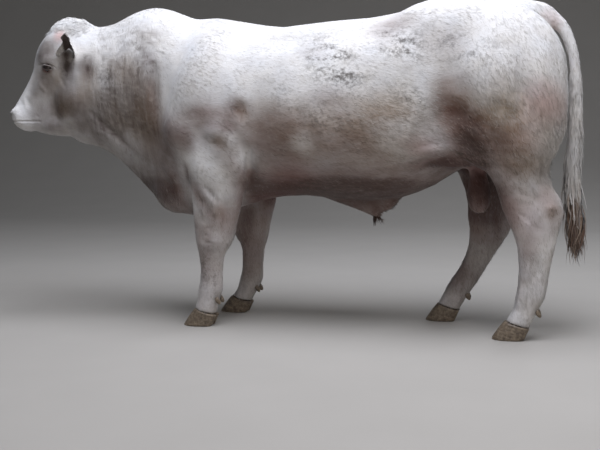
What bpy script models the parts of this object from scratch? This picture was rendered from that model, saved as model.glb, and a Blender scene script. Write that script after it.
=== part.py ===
"""A Charolais bull, standing, life size, as a still museum model.

Metres, +Z up, soles on z = 0. The head looks towards -X and the animal's left side
faces -Y. The flesh is one form, fused from lofts and muscles, then parted by thin cuts.
"""

import math
import random

import bmesh
import bpy
import numpy as np
from mathutils import Matrix, Vector
from mathutils.bvhtree import BVHTree

# Driving sizes of the animal
WITHERS_HEIGHT = 1.42
CROUP_HEIGHT = 1.50
BARREL_HALF_WIDTH = 0.338
FORE_TRACK = 0.185            # middle of each forefoot from the middle plane
HIND_TRACK = 0.185            # middle of each hind foot from the middle plane
FAR_FORE_BACK = 0.064         # the right forefoot stands this far behind the left one
FORE_CANNON_LEAN = 0.014      # the left fore cannon stands this far ahead, the right one behind
BOX_SHIFT = Vector((0.0457, 0.0, 0.0))   # moves the finished animal to the middle of its box

# Driving sizes of the head
HEAD_TURN = math.radians(16.0)          # towards the animal's left
HEAD_ROOT = Vector((-1.05, -0.06, 0.0))
FACE_START = (0.02, 1.30)               # ahead, height: inside the skull below the poll
FACE_DIRECTION = Vector((0.575, -0.818)).normalized()
EYE_PLACE = (0.146, 0.104, 1.187)       # ahead, left, height
EYE_RADIUS = 0.0200
EYELID_HALF_LENGTH = 0.0270
EYELID_HALF_HEIGHT = 0.0145
MOUTH_SLIT = 0.0024
EAR_ROOT = (0.042, 0.085, 1.232)        # ahead, left, height
EAR_TIP = (0.047, 0.238, 1.322)
EAR_MOUTH = (0.34, 0.50, -0.66)         # the way the cup opens
EAR_LENGTH = 0.190
EAR_WIDTH = 0.128                       # along the roll of the sheet
EAR_THICKNESS = 0.0055
EAR_BEND = 0.018
EAR_ROLL_ROOT = 235.0                   # degrees that the sheet turns round its axis
EAR_ROLL_TIP = 85.0
EAR_FLARE = 0.026                       # the front rim's lower part turns out by this much
EAR_FLARE_WAY = (0.85, 0.30, -0.42)

# How the solids are made
VOXEL = 0.0055
GAP = 0.0003                  # between neighbouring pieces
SMOOTH_ROUNDS = 90
STROKE_OVERRUN = 0.6
LEG_SMOOTHING = 0.15
HEAD_SMOOTHING = 0.07
NECK_FOLDS = 5
NECK_FOLD_START = -0.99
NECK_FOLD_STEP = 0.060
NECK_FOLD_DEPTH = 0.004
FIRST_SHARE_TRIS = 13500
FINAL_FLESH_TRIS = 6500
SEED = 41

# Where the body is parted
NECK_CUT = ((-0.755, 0.53), (-0.465, 1.46))   # X, Z of the lower and upper end
CHEST_CUT = -0.115
HIND_CUT = 0.575
SHEATH_CUT = 0.550
GROIN_HALF_WIDTH = 0.060
TAIL_CUT = 1.08
SWITCH_TOP = 0.775
KNEE_CUT = 0.345
FORE_PASTERN_CUT = 0.195
HOCK_CUT = 0.44
HIND_PASTERN_CUT = 0.22
CORONET_HEIGHT = 0.066
CORONET_SLOPE = 0.28

# Claws and hair
CLAW_LEVELS = (0.0, 0.06, 0.5, 1.0)
CLAW_REACH = 0.040            # how far the sole lies ahead of the coronet
CLAW_SOLE_HALF_LENGTH = 0.070
CLAW_TOP_HALF_LENGTH = 0.053
CLAW_HALF_WIDTH = 0.036
CLAW_MIDDLE = 0.0215
DEWCLAW_SIDE = 0.027
DEWCLAW_HEIGHT = 0.128
SWITCH_LOCKS = 20
SWITCH_TIP = 0.283
TUFT_LOCKS = 6


# Small tools


def clear_scene():
    for thing in list(bpy.data.objects):
        bpy.data.objects.remove(thing)


def new_object(name, mesh_builder):
    mesh = bpy.data.meshes.new(name)
    mesh_builder.to_mesh(mesh)
    mesh_builder.free()
    thing = bpy.data.objects.new(name, mesh)
    bpy.context.scene.collection.objects.link(thing)
    return thing


def apply_modifiers(thing):
    graph = bpy.context.evaluated_depsgraph_get()
    finished = bpy.data.meshes.new_from_object(thing.evaluated_get(graph))
    thing.modifiers.clear()
    thing.data = finished


def remove_objects(things):
    for thing in things:
        bpy.data.objects.remove(thing)


def curve_value(rows, column, place):
    """Catmull-Rom value of one column at a fractional row number."""
    low = min(int(place), len(rows) - 2)
    share = place - low
    before = rows[max(low - 1, 0)][column]
    start = rows[low][column]
    end = rows[low + 1][column]
    after = rows[min(low + 2, len(rows) - 1)][column]
    square = share * share
    cube = square * share
    bend = (2 * before - 5 * start + 4 * end - after) * square
    twist = (3 * start - 3 * end + after - before) * cube
    return 0.5 * (2 * start + (end - before) * share + bend + twist)


def between(rows, steps):
    """The rows with steps - 1 smooth rows added between each two."""
    count = (len(rows) - 1) * steps
    result = []
    for number in range(count + 1):
        place = number / steps
        result.append([curve_value(rows, column, place) for column in range(len(rows[0]))])
    return result


def signed_power(value, power):
    return math.copysign(abs(value) ** power, value)


def oval(center, side, up, half_side, half_up, half_down, square_up, square_down, points=40):
    """A closed outline: an ellipse whose upper and lower halves have their own height and squareness."""
    result = []
    for number in range(points):
        angle = 2 * math.pi * number / points
        across = math.cos(angle)
        rise = math.sin(angle)
        squareness = square_up if rise >= 0 else square_down
        height = half_up if rise >= 0 else half_down
        across_point = half_side * signed_power(across, 2 / squareness)
        rise_point = height * signed_power(rise, 2 / squareness)
        result.append(center + side * across_point + up * rise_point)
    return result


def loft(name, outlines):
    """A closed skin over a row of outlines of equal count."""
    work = bmesh.new()
    rings = [[work.verts.new(point) for point in outline] for outline in outlines]
    count = len(rings[0])
    for ring, following in zip(rings, rings[1:]):
        for number in range(count):
            after = (number + 1) % count
            work.faces.new((ring[number], ring[after], following[after], following[number]))
    for ring, outline in ((rings[0], outlines[0]), (rings[-1], outlines[-1])):
        middle = work.verts.new(sum(outline, Vector()) / count)
        for number in range(count):
            work.faces.new((middle, ring[number], ring[(number + 1) % count]))
    bmesh.ops.recalc_face_normals(work, faces=work.faces)
    return new_object(name, work)


def muscle(name, center, radii, pitch=0.0, roll=0.0, yaw=0.0, segments=28):
    """An ellipsoid; pitch leans its top towards +X, roll leans its top towards +Y, in degrees."""
    turn = Matrix.Rotation(math.radians(yaw), 4, 'Z')
    turn = turn @ Matrix.Rotation(math.radians(pitch), 4, 'Y')
    turn = turn @ Matrix.Rotation(math.radians(-roll), 4, 'X')
    place = Matrix.Translation(center) @ turn @ Matrix.Diagonal((*radii, 1.0))
    work = bmesh.new()
    bmesh.ops.create_uvsphere(work, u_segments=segments, v_segments=segments // 2, radius=1.0, matrix=place)
    return new_object(name, work)


def tube(name, rows, steps=4, points=20):
    """A tapered round body through (x, y, z, radius across, radius in its own plane)."""
    fine = between(rows, steps)
    outlines = []
    for number, row in enumerate(fine):
        before = Vector(fine[max(number - 1, 0)][:3])
        after = Vector(fine[min(number + 1, len(fine) - 1)][:3])
        along = (after - before).normalized()
        side = Vector((0, 1, 0)) - along * along.y
        side.normalize()
        up = side.cross(along)
        outlines.append(oval(Vector(row[:3]), side, up, row[3], row[4], row[4], 2, 2, points=points))
    return loft(name, outlines)


def fuse(name, pieces, voxel):
    """One closed skin round all the pieces."""
    work = bmesh.new()
    for piece in pieces:
        piece.data.transform(piece.matrix_world)
        work.from_mesh(piece.data)
    fused = new_object(name, work)
    remove_objects(pieces)
    remesh = fused.modifiers.new("remesh", 'REMESH')
    remesh.mode = 'VOXEL'
    remesh.voxel_size = voxel
    apply_modifiers(fused)
    return fused


def largest_surface(work):
    """Deletes all but the closed surface with the most room inside."""
    unseen = set(work.faces)
    best_faces = []
    best_volume = -1.0
    while unseen:
        start = unseen.pop()
        group = [start]
        stack = [start]
        while stack:
            face = stack.pop()
            for edge in face.edges:
                for other in edge.link_faces:
                    if other in unseen:
                        unseen.discard(other)
                        group.append(other)
                        stack.append(other)
        volume = 0.0
        for face in group:
            first = face.verts[0].co
            for second, third in zip(face.verts[1:], face.verts[2:]):
                volume += first.dot(second.co.cross(third.co)) / 6
        if volume > best_volume:
            best_volume = volume
            best_faces = group
    kept = set(best_faces)
    spare = [face for face in work.faces if face not in kept]
    bmesh.ops.delete(work, geom=spare, context='FACES')


def keep_largest(thing):
    work = bmesh.new()
    work.from_mesh(thing.data)
    bmesh.ops.triangulate(work, faces=work.faces)
    largest_surface(work)
    work.to_mesh(thing.data)
    work.free()


def boolean(thing, others, operation, solver='EXACT'):
    """Joins or cuts with a collection of closed meshes, then removes them."""
    group = bpy.data.collections.new("tools")
    bpy.context.scene.collection.children.link(group)
    for other in others:
        bpy.context.scene.collection.objects.unlink(other)
        group.objects.link(other)
    cut = thing.modifiers.new("boolean", 'BOOLEAN')
    cut.operation = operation
    cut.operand_type = 'COLLECTION'
    cut.collection = group
    cut.solver = solver
    apply_modifiers(thing)
    remove_objects(others)
    bpy.data.collections.remove(group)


def swollen_copy(thing, amount):
    """A copy whose skin lies the given amount outside the original."""
    copy = bpy.data.objects.new("swollen", thing.data.copy())
    bpy.context.scene.collection.objects.link(copy)
    mesh = copy.data
    shifts = [vertex.normal * amount for vertex in mesh.vertices]
    for vertex, shift in zip(mesh.vertices, shifts):
        vertex.co = vertex.co + shift
    return copy


def fit_against(piece, host):
    """Cuts the piece's root to the host's skin, with the thin gap left between them."""
    boolean(piece, [swollen_copy(host, GAP)], 'DIFFERENCE')
    keep_largest(piece)


# The head's own frame: ahead along the face, left, height


def head_point(ahead, left, height):
    forward = Vector((-math.cos(HEAD_TURN), -math.sin(HEAD_TURN), 0))
    leftward = Vector((math.sin(HEAD_TURN), -math.cos(HEAD_TURN), 0))
    return HEAD_ROOT + forward * ahead + leftward * left + Vector((0, 0, height))


def head_direction(ahead, left, height):
    return head_point(ahead, left, height) - HEAD_ROOT


def face_point(along, above, left):
    """A point by its distance along the face's axis, above it, and to the left."""
    ahead = FACE_START[0] + FACE_DIRECTION.x * along - FACE_DIRECTION.y * above
    height = FACE_START[1] + FACE_DIRECTION.y * along + FACE_DIRECTION.x * above
    return head_point(ahead, left, height)


def head_muscle(name, ahead, left, height, radii, lean=0.0, splay=0.0):
    """An ellipsoid in the head's frame: radii ahead, across and high; lean tips its top ahead."""
    turn = Matrix.Rotation(HEAD_TURN, 4, 'Z') @ Matrix.Rotation(math.radians(-lean), 4, 'Y')
    turn = turn @ Matrix.Rotation(math.radians(splay), 4, 'X')
    place = Matrix.Translation(head_point(ahead, left, height)) @ turn @ Matrix.Diagonal((*radii, 1.0))
    work = bmesh.new()
    bmesh.ops.create_uvsphere(work, u_segments=28, v_segments=14, radius=1.0, matrix=place)
    return new_object(name, work)


# The trunk and neck


def trunk():
    # place along X, top, bottom, half width, height of the widest point, squareness above and below
    rows = [
        (-0.69, 1.20, 0.66, 0.09, 0.92, 2.0, 1.8),
        (-0.62, 1.34, 0.555, 0.19, 0.92, 2.0, 1.7),
        (-0.52, 1.400, 0.500, 0.255, 0.94, 2.0, 1.6),
        (-0.40, WITHERS_HEIGHT, 0.500, 0.290, 0.97, 2.0, 1.6),
        (-0.27, 1.398, 0.535, 0.300, 0.97, 2.1, 1.7),
        (-0.12, 1.374, 0.580, 0.318, 0.96, 2.2, 1.9),
        (0.03, 1.366, 0.592, 0.332, 0.95, 2.3, 2.0),
        (0.18, 1.380, 0.580, BARREL_HALF_WIDTH, 0.95, 2.4, 2.0),
        (0.33, 1.400, 0.575, 0.336, 0.97, 2.4, 2.0),
        (0.47, 1.424, 0.590, 0.320, 1.00, 2.4, 2.0),
        (0.60, 1.462, 0.635, 0.300, 1.04, 2.3, 1.9),
        (0.73, 1.490, 0.715, 0.285, 1.08, 2.2, 1.8),
        (0.86, CROUP_HEIGHT, 0.800, 0.270, 1.12, 2.1, 1.8),
        (0.98, 1.480, 0.880, 0.225, 1.16, 2.0, 1.8),
        (1.06, 1.440, 0.980, 0.160, 1.20, 2.0, 1.8),
        (1.11, 1.38, 1.10, 0.080, 1.24, 2.0, 2.0),
    ]
    outlines = []
    for row in between(rows, 4):
        x, top, bottom, half_width, widest, square_up, square_down = row
        center = Vector((x, 0, widest))
        outlines.append(oval(center, Vector((0, 1, 0)), Vector((0, 0, 1)), half_width,
                             top - widest, widest - bottom, square_up, square_down, points=56))
    return loft("trunk", outlines)


def neck():
    # place along X, sideways, turn in degrees, top, bottom, half width, widest, squareness
    rows = [
        (-0.36, 0.000, 0, 1.40, 0.58, 0.215, 1.05, 2.0, 1.8),
        (-0.50, 0.000, 1, 1.418, 0.505, 0.235, 1.05, 2.0, 1.6),
        (-0.60, -0.003, 4, 1.455, 0.525, 0.220, 1.06, 2.0, 1.5),
        (-0.70, -0.010, 7, 1.468, 0.565, 0.198, 1.08, 2.0, 1.4),
        (-0.80, -0.022, 10, 1.446, 0.665, 0.176, 1.09, 2.1, 1.4),
        (-0.90, -0.038, 13, 1.398, 0.758, 0.157, 1.10, 2.2, 1.4),
        (-1.00, -0.055, 15, 1.384, 0.815, 0.143, 1.10, 2.2, 1.5),
        (-1.09, -0.074, 16, 1.392, 0.850, 0.128, 1.11, 2.2, 1.7),
        (-1.15, -0.090, 16, 1.340, 0.900, 0.100, 1.12, 2.0, 2.0),
    ]
    outlines = []
    for row in between(rows, 4):
        x, y, turn, top, bottom, half_width, widest, square_up, square_down = row
        angle = math.radians(turn)
        side = Vector((-math.sin(angle), math.cos(angle), 0))
        outlines.append(oval(Vector((x, y, widest)), side, Vector((0, 0, 1)), half_width,
                             top - widest, widest - bottom, square_up, square_down, points=48))
    return loft("neck_core", outlines)


def body_masses():
    """The large muscles that carry the outline."""
    parts = [
        muscle("brisket", (-0.60, 0, 0.625), (0.120, 0.120, 0.130), pitch=-20),
        muscle("breast", (-0.52, 0, 0.62), (0.17, 0.15, 0.130)),
        muscle("groin", (0.74, 0, 0.88), (0.20, 0.17, 0.14), pitch=25),
    ]
    for side in (-1, 1):
        parts += [
            muscle("shoulder", (-0.390, side * 0.170, 1.04), (0.190, 0.140, 0.330), pitch=14, roll=-side * 6),
            muscle("loin", (0.200, side * 0.105, 1.285), (0.620, 0.120, 0.100), pitch=-4),
            muscle("rump", (0.730, side * 0.124, 1.305), (0.330, 0.152, 0.172)),
            muscle("hip", (0.720, side * 0.172, 1.215), (0.230, 0.118, 0.170)),
            muscle("haunch", (0.925, side * 0.190, 1.110), (0.265, 0.152, 0.320), pitch=6),
            muscle("rear_thigh", (1.075, side * 0.150, 1.070), (0.120, 0.130, 0.290), pitch=-3),
        ]
    return parts


# The legs. Each row: height, place along X, sideways, half depth, half width


def limb(name, rows, side, square=2.2):
    outlines = []
    for row in between(rows, 4):
        height, x, y, half_depth, half_width = row
        outlines.append(oval(Vector((x, side * y, height)), Vector((0, 1, 0)), Vector((1, 0, 0)),
                             half_width, half_depth, half_depth, square, square, points=32))
    return loft(name, outlines)


def foreleg(name, side, back):
    """A straight foreleg; back is how far the foot stands behind the left one."""
    rows = [
        (0.98, -0.330, 0.215, 0.152, 0.080),
        (0.86, -0.329, 0.222, 0.168, 0.088),
        (0.76, -0.330, 0.216, 0.158, 0.086),
        (0.67, -0.333, 0.208, 0.141, 0.077),
        (0.58, -0.339, 0.200, 0.124, 0.069),
        (0.50, -0.347, 0.194, 0.109, 0.063),
        (0.44, -0.352, 0.190, 0.099, 0.062),
        (0.385, -0.354, 0.188, 0.087, 0.061),
        (0.33, -0.357, 0.187, 0.064, 0.051),
        (0.27, -0.358, 0.186, 0.056, 0.044),
        (0.21, -0.360, FORE_TRACK, 0.056, 0.045),
        (0.165, -0.366, FORE_TRACK, 0.060, 0.052),
        (0.12, -0.380, FORE_TRACK, 0.054, 0.053),
        (0.075, -0.399, FORE_TRACK, 0.056, 0.056),
        (0.03, -0.412, FORE_TRACK, 0.050, 0.050),
    ]
    moved = []
    for height, x, y, half_depth, half_width in rows:
        share = min(max((0.98 - height) / 0.45, 0), 1)
        lean_share = min(max((0.41 - height) / 0.08, 0), 1) * min(max((height - 0.06) / 0.08, 0), 1)
        x += back * share + side * FORE_CANNON_LEAN * lean_share
        moved.append((height, x, y, half_depth, half_width))
    return limb(name, moved, side)


def near_hind():
    """The left hind leg, set back under the body."""
    rows = [
        (1.30, 0.920, 0.190, 0.200, 0.110),
        (1.18, 0.925, 0.195, 0.245, 0.145),
        (1.04, 0.930, 0.196, 0.262, 0.146),
        (0.92, 0.948, 0.193, 0.236, 0.136),
        (0.82, 0.973, 0.190, 0.180, 0.118),
        (0.74, 0.973, 0.188, 0.125, 0.094),
        (0.67, 0.995, 0.187, 0.108, 0.074),
        (0.61, 1.020, 0.186, 0.112, 0.062),
        (0.55, 1.044, 0.186, 0.116, 0.058),
        (0.49, 1.061, 0.186, 0.102, 0.054),
        (0.42, 1.074, 0.186, 0.087, 0.045),
        (0.34, 1.071, 0.186, 0.072, 0.040),
        (0.26, 1.065, HIND_TRACK, 0.065, 0.040),
        (0.19, 1.056, HIND_TRACK, 0.064, 0.049),
        (0.13, 1.036, HIND_TRACK, 0.056, 0.051),
        (0.075, 1.008, HIND_TRACK, 0.060, 0.055),
        (0.03, 0.992, HIND_TRACK, 0.052, 0.050),
    ]
    return [
        limb("near_hind_core", rows, -1),
        tube("near_tendon", [(1.092, -0.182, 0.80, 0.035, 0.045), (1.095, -0.184, 0.72, 0.024, 0.034),
                             (1.124, -0.186, 0.65, 0.023, 0.030), (1.151, -0.186, 0.58, 0.030, 0.036),
                             (1.151, -0.186, 0.52, 0.028, 0.034), (1.136, -0.186, 0.45, 0.022, 0.028)]),
    ]


def far_hind():
    """The right hind leg, stepped forward."""
    rows = [
        (1.30, 0.900, 0.190, 0.200, 0.110),
        (1.18, 0.895, 0.195, 0.250, 0.145),
        (1.04, 0.880, 0.196, 0.268, 0.146),
        (0.92, 0.862, 0.193, 0.256, 0.136),
        (0.82, 0.852, 0.190, 0.216, 0.118),
        (0.74, 0.850, 0.188, 0.166, 0.096),
        (0.67, 0.858, 0.187, 0.138, 0.078),
        (0.61, 0.866, 0.186, 0.122, 0.064),
        (0.55, 0.872, 0.186, 0.116, 0.058),
        (0.49, 0.868, 0.186, 0.110, 0.054),
        (0.42, 0.862, 0.186, 0.094, 0.046),
        (0.34, 0.832, 0.186, 0.072, 0.040),
        (0.26, 0.792, HIND_TRACK, 0.064, 0.039),
        (0.19, 0.750, HIND_TRACK, 0.066, 0.049),
        (0.13, 0.714, HIND_TRACK, 0.062, 0.051),
        (0.075, 0.686, HIND_TRACK, 0.060, 0.055),
        (0.03, 0.670, HIND_TRACK, 0.052, 0.050),
    ]
    return [
        limb("far_hind_core", rows, 1),
        tube("far_tendon", [(1.010, 0.182, 0.78, 0.035, 0.045), (0.975, 0.184, 0.70, 0.026, 0.036),
                            (0.968, 0.186, 0.63, 0.024, 0.033), (0.970, 0.186, 0.57, 0.030, 0.036),
                            (0.955, 0.186, 0.51, 0.028, 0.034), (0.930, 0.186, 0.45, 0.022, 0.028)]),
    ]


def flanks():
    return [
        muscle("near_stifle", (0.850, -0.205, 0.920), (0.135, 0.110, 0.200), pitch=-8),
        muscle("far_stifle", (0.770, 0.205, 0.910), (0.150, 0.110, 0.200), pitch=4),
        muscle("near_flank", (0.690, -0.200, 0.880), (0.170, 0.085, 0.150), pitch=35),
        muscle("far_flank", (0.650, 0.200, 0.860), (0.150, 0.085, 0.160), pitch=25),
    ]


# Sheath, scrotum and tail


def sheath():
    return [
        tube("sheath_core", [(0.10, 0, 0.620, 0.060, 0.030), (0.20, 0, 0.592, 0.056, 0.036),
                             (0.29, 0, 0.562, 0.046, 0.038), (0.345, 0, 0.530, 0.034, 0.030),
                             (0.375, 0, 0.506, 0.022, 0.020)]),
        muscle("sheath_web", (0.40, 0, 0.585), (0.085, 0.040, 0.060), pitch=-35),
    ]


def scrotum():
    rows = [
        (0.800, 0, 0.86, 0.050, 0.050),
        (0.812, 0, 0.76, 0.040, 0.040),
        (0.817, 0, 0.69, 0.042, 0.044),
        (0.820, 0, 0.63, 0.055, 0.056),
        (0.822, 0, 0.575, 0.055, 0.055),
        (0.822, 0, 0.536, 0.038, 0.036),
        (0.822, 0, 0.524, 0.010, 0.010),
    ]
    return tube("scrotum_core", rows, points=24)


# place along X, sideways, height, half width across, half depth: the tail's course to its switch
TAIL_ROWS = [
    (0.985, 0.000, 1.420, 0.050, 0.040),
    (1.060, 0.000, 1.425, 0.047, 0.040),
    (1.120, 0.000, 1.390, 0.041, 0.038),
    (1.172, -0.001, 1.325, 0.035, 0.033),
    (1.208, -0.002, 1.240, 0.031, 0.028),
    (1.226, -0.003, 1.140, 0.028, 0.026),
    (1.231, -0.004, 1.030, 0.026, 0.026),
    (1.229, -0.005, 0.920, 0.026, 0.028),
    (1.222, -0.006, 0.820, 0.027, 0.032),
    (1.222, -0.007, 0.740, 0.028, 0.036),
]


# The head


def head_core():
    # along the face, top and bottom above the axis, half width, widest above the axis, squareness
    rows = [
        (-0.115, 0.030, -0.060, 0.040, 0.00, 2.0, 2.0),
        (-0.088, 0.092, -0.110, 0.068, 0.00, 2.2, 2.0),
        (-0.052, 0.124, -0.150, 0.090, 0.02, 2.4, 2.0),
        (-0.010, 0.137, -0.180, 0.104, 0.04, 2.6, 2.0),
        (0.035, 0.138, -0.195, 0.118, 0.05, 2.8, 2.0),
        (0.080, 0.143, -0.205, 0.124, 0.06, 2.8, 2.0),
        (0.130, 0.138, -0.212, 0.123, 0.05, 2.7, 2.0),
        (0.175, 0.124, -0.215, 0.113, 0.03, 2.6, 2.0),
        (0.225, 0.104, -0.205, 0.093, 0.01, 2.5, 2.0),
        (0.285, 0.093, -0.175, 0.079, 0.00, 2.5, 2.0),
        (0.345, 0.088, -0.140, 0.069, 0.00, 2.4, 2.0),
        (0.395, 0.084, -0.112, 0.069, 0.00, 2.4, 2.1),
        (0.432, 0.080, -0.088, 0.075, 0.01, 2.5, 2.2),
        (0.458, 0.071, -0.064, 0.073, 0.01, 2.5, 2.2),
        (0.476, 0.052, -0.042, 0.060, 0.01, 2.4, 2.2),
        (0.487, 0.026, -0.018, 0.034, 0.01, 2.2, 2.2),
    ]
    side = head_direction(0, 1, 0)
    up = face_point(0, 1, 0) - face_point(0, 0, 0)
    outlines = []
    for row in between(rows, 4):
        along, top, bottom, half_width, widest, square_up, square_down = row
        center = face_point(along, widest, 0)
        outlines.append(oval(center, side, up, half_width, top - widest, widest - bottom,
                             square_up, square_down, points=48))
    return loft("head_core", outlines)


def head_forms():
    parts = [
        head_core(),
        head_muscle("throat", 0.085, 0, 0.925, (0.175, 0.062, 0.062)),
        head_muscle("throat_root", -0.040, 0, 0.905, (0.130, 0.075, 0.085), lean=-10),
        head_muscle("chin", 0.262, 0, 0.921, (0.052, 0.047, 0.031)),
        head_muscle("poll_pad", 0.034, 0, 1.362, (0.085, 0.082, 0.050)),
    ]
    for side in (-1, 1):
        parts += [
            head_muscle("cheek", 0.030, side * 0.058, 1.040, (0.110, 0.050, 0.120), lean=20),
            head_muscle("jaw_angle", -0.015, side * 0.056, 0.985, (0.080, 0.045, 0.080)),
            head_muscle("ear_root", 0.040, side * 0.092, 1.240, (0.050, 0.040, 0.055)),
            head_muscle("upper_lip", 0.275, side * 0.032, 0.962, (0.055, 0.036, 0.028), lean=10),
            head_muscle("lower_lip", 0.262, side * 0.024, 0.920, (0.054, 0.028, 0.019)),
        ]
    return parts


def flesh_pieces():
    pieces = [trunk(), neck(), scrotum(), tube("tail_core", TAIL_ROWS)]
    pieces += body_masses()
    pieces += flanks()
    pieces += sheath()
    pieces += [foreleg("near_foreleg", -1, 0.0), foreleg("far_foreleg", 1, FAR_FORE_BACK)]
    pieces += near_hind()
    pieces += far_hind()
    pieces += head_forms()
    return pieces


def head_share(point):
    """1 in the head and 0 in the body, with a soft change at the neck."""
    ahead = -(point.x - HEAD_ROOT.x) * math.cos(HEAD_TURN) - (point.y - HEAD_ROOT.y) * math.sin(HEAD_TURN)
    return min(max((ahead + 0.10) / 0.08, 0.0), 1.0)


def triangle_count(mesh):
    return sum(len(face.vertices) - 2 for face in mesh.polygons)


def softness(point):
    """How strongly the fused form is smoothed: most on the trunk, little on head, feet and tail."""
    trunk_share = min(max((point.z - 0.45) / 0.25, 0.0), 1.0)
    tail_share = min(max((point.x - 1.15) / 0.06, 0.0), 1.0)
    share = LEG_SMOOTHING + (1 - LEG_SMOOTHING) * trunk_share
    share += (LEG_SMOOTHING - share) * tail_share
    return share + (HEAD_SMOOTHING - share) * head_share(point)


def side_strokes():
    """Muscle swellings and hollows drawn on both flanks: start and end (X, Z), reach, height."""
    return [
        ((-0.345, 1.330), (-0.480, 0.960), 0.120, 0.016),   # shoulder blade
        ((-0.270, 1.250), (-0.250, 0.960), 0.110, 0.012),   # behind the blade
        ((-0.540, 0.940), (-0.500, 0.830), 0.110, 0.022),   # point of the shoulder
        ((-0.340, 0.990), (-0.240, 0.830), 0.100, 0.022),   # triceps
        ((-0.385, 0.900), (-0.350, 0.800), 0.050, -0.010),  # hollow before the triceps
        ((-0.140, 1.150), (-0.110, 0.780), 0.120, -0.014),  # hollow behind the shoulder
        ((-0.620, 1.200), (-0.610, 0.980), 0.100, -0.012),  # hollow before the shoulder
        ((-0.560, 0.790), (-0.940, 0.960), 0.090, -0.014),  # groove over the windpipe
        ((-0.420, 0.740), (-0.330, 0.670), 0.080, 0.010),   # head of the forearm
        ((-0.280, 0.660), (-0.285, 0.480), 0.045, -0.010),  # groove down the forearm
        ((0.420, 1.100), (0.560, 0.990), 0.200, -0.014),    # flank hollow
        ((0.250, 1.300), (0.520, 1.320), 0.080, -0.004),    # under the loin's edge
        ((0.590, 1.370), (0.660, 1.335), 0.080, 0.006),     # hip bone
        ((0.860, 1.250), (0.930, 1.000), 0.140, 0.012),     # side of the haunch
        ((1.070, 1.280), (1.110, 0.950), 0.080, 0.012),     # rear of the haunch
        ((0.985, 1.260), (1.040, 0.900), 0.060, -0.012),    # groove in the haunch
        ((0.730, 1.140), (0.770, 0.960), 0.110, -0.007),    # groove before the haunch
        ((0.780, 0.950), (0.850, 0.860), 0.100, 0.012),     # stifle
        ((0.000, 0.900), (0.280, 0.870), 0.260, 0.010),     # paunch
        ((-0.060, 1.060), (0.020, 0.760), 0.050, -0.004),   # between two ribs
        ((0.060, 1.060), (0.150, 0.760), 0.050, -0.004),    # between two ribs
    ]


def neck_folds():
    """Soft folds that ring the neck from crest to throat."""
    draw = random.Random(SEED)
    folds = []
    for number in range(NECK_FOLDS):
        x = NECK_FOLD_START + NECK_FOLD_STEP * (number + draw.uniform(-0.2, 0.2))
        depth = -NECK_FOLD_DEPTH * draw.uniform(0.6, 1.2)
        folds.append(((x + 0.050, 1.36), (x, 1.06), 0.024, depth))
        folds.append(((x + 0.004, 1.12), (x + 0.080, 0.86), 0.024, depth))
    return folds


def space_strokes():
    """Forms drawn in space on the trunk, for both sides: start, end, reach, height."""
    return [
        ((-0.150, 0.015, 1.385), (0.900, 0.015, 1.500), 0.060, -0.012),   # groove along the spine
        ((0.760, 0.200, 1.430), (0.900, 0.190, 1.420), 0.130, 0.006),     # rump muscle
        ((1.070, 0.105, 1.400), (1.125, 0.135, 1.310), 0.080, -0.034),    # hollow beside the tail's root
        ((-0.620, 0.020, 1.460), (-0.800, 0.020, 1.440), 0.110, 0.005),   # crest
        ((0.690, 0.040, 0.735), (0.690, 0.200, 0.735), 0.070, -0.020),    # corner of belly and thigh
    ]


def head_strokes():
    """Bones, muscles and lips of the head in its own frame: ahead, left, height."""
    return [
        ((0.105, 0.108, 1.232), (0.178, 0.104, 1.212), 0.036, 0.010),   # brow
        ((0.120, 0.104, 1.160), (0.180, 0.094, 1.150), 0.026, 0.004),   # under the eye
        ((0.165, 0.088, 1.140), (0.215, 0.072, 1.060), 0.030, 0.006),   # cheekbone
        ((0.215, 0.090, 1.170), (0.262, 0.066, 1.060), 0.034, -0.007),  # hollow of the face
        ((0.070, 0.100, 1.090), (0.005, 0.090, 0.990), 0.085, 0.016),   # chewing muscle
        ((0.148, 0.084, 1.080), (0.140, 0.080, 0.970), 0.045, -0.010),  # before the chewing muscle
        ((0.100, 0.110, 1.265), (0.060, 0.110, 1.300), 0.045, -0.006),  # temple
        ((0.205, 0.000, 1.270), (0.235, 0.000, 1.180), 0.050, -0.005),  # hollow of the forehead
        ((0.150, 0.060, 1.345), (0.155, 0.000, 1.352), 0.016, 0.005),   # wave of the poll's hair
        ((0.110, 0.066, 1.372), (0.118, 0.000, 1.385), 0.018, 0.005),   # wave of the poll's hair
        ((0.062, 0.070, 1.388), (0.070, 0.000, 1.406), 0.018, 0.005),   # wave of the poll's hair
        ((0.318, 0.044, 1.005), (0.306, 0.058, 0.965), 0.030, 0.009),   # wing of the nostril
        ((0.290, 0.040, 1.040), (0.270, 0.060, 1.000), 0.024, -0.004),  # behind the nostril
        ((0.310, 0.030, 0.949), (0.205, 0.056, 0.949), 0.016, 0.006),   # upper lip
        ((0.295, 0.024, 0.921), (0.215, 0.048, 0.921), 0.016, 0.005),   # lower lip
        ((0.130, 0.062, 0.918), (-0.010, 0.080, 0.962), 0.030, 0.007),  # edge of the jaw
        ((0.115, 0.050, 0.885), (0.060, 0.062, 0.868), 0.014, -0.006),  # fold of the throat
        ((0.080, 0.056, 0.900), (0.020, 0.064, 0.862), 0.014, -0.006),  # fold of the throat
        ((-0.085, 0.100, 1.020), (-0.060, 0.075, 0.880), 0.035, -0.012),  # behind the jaw
    ]


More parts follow.
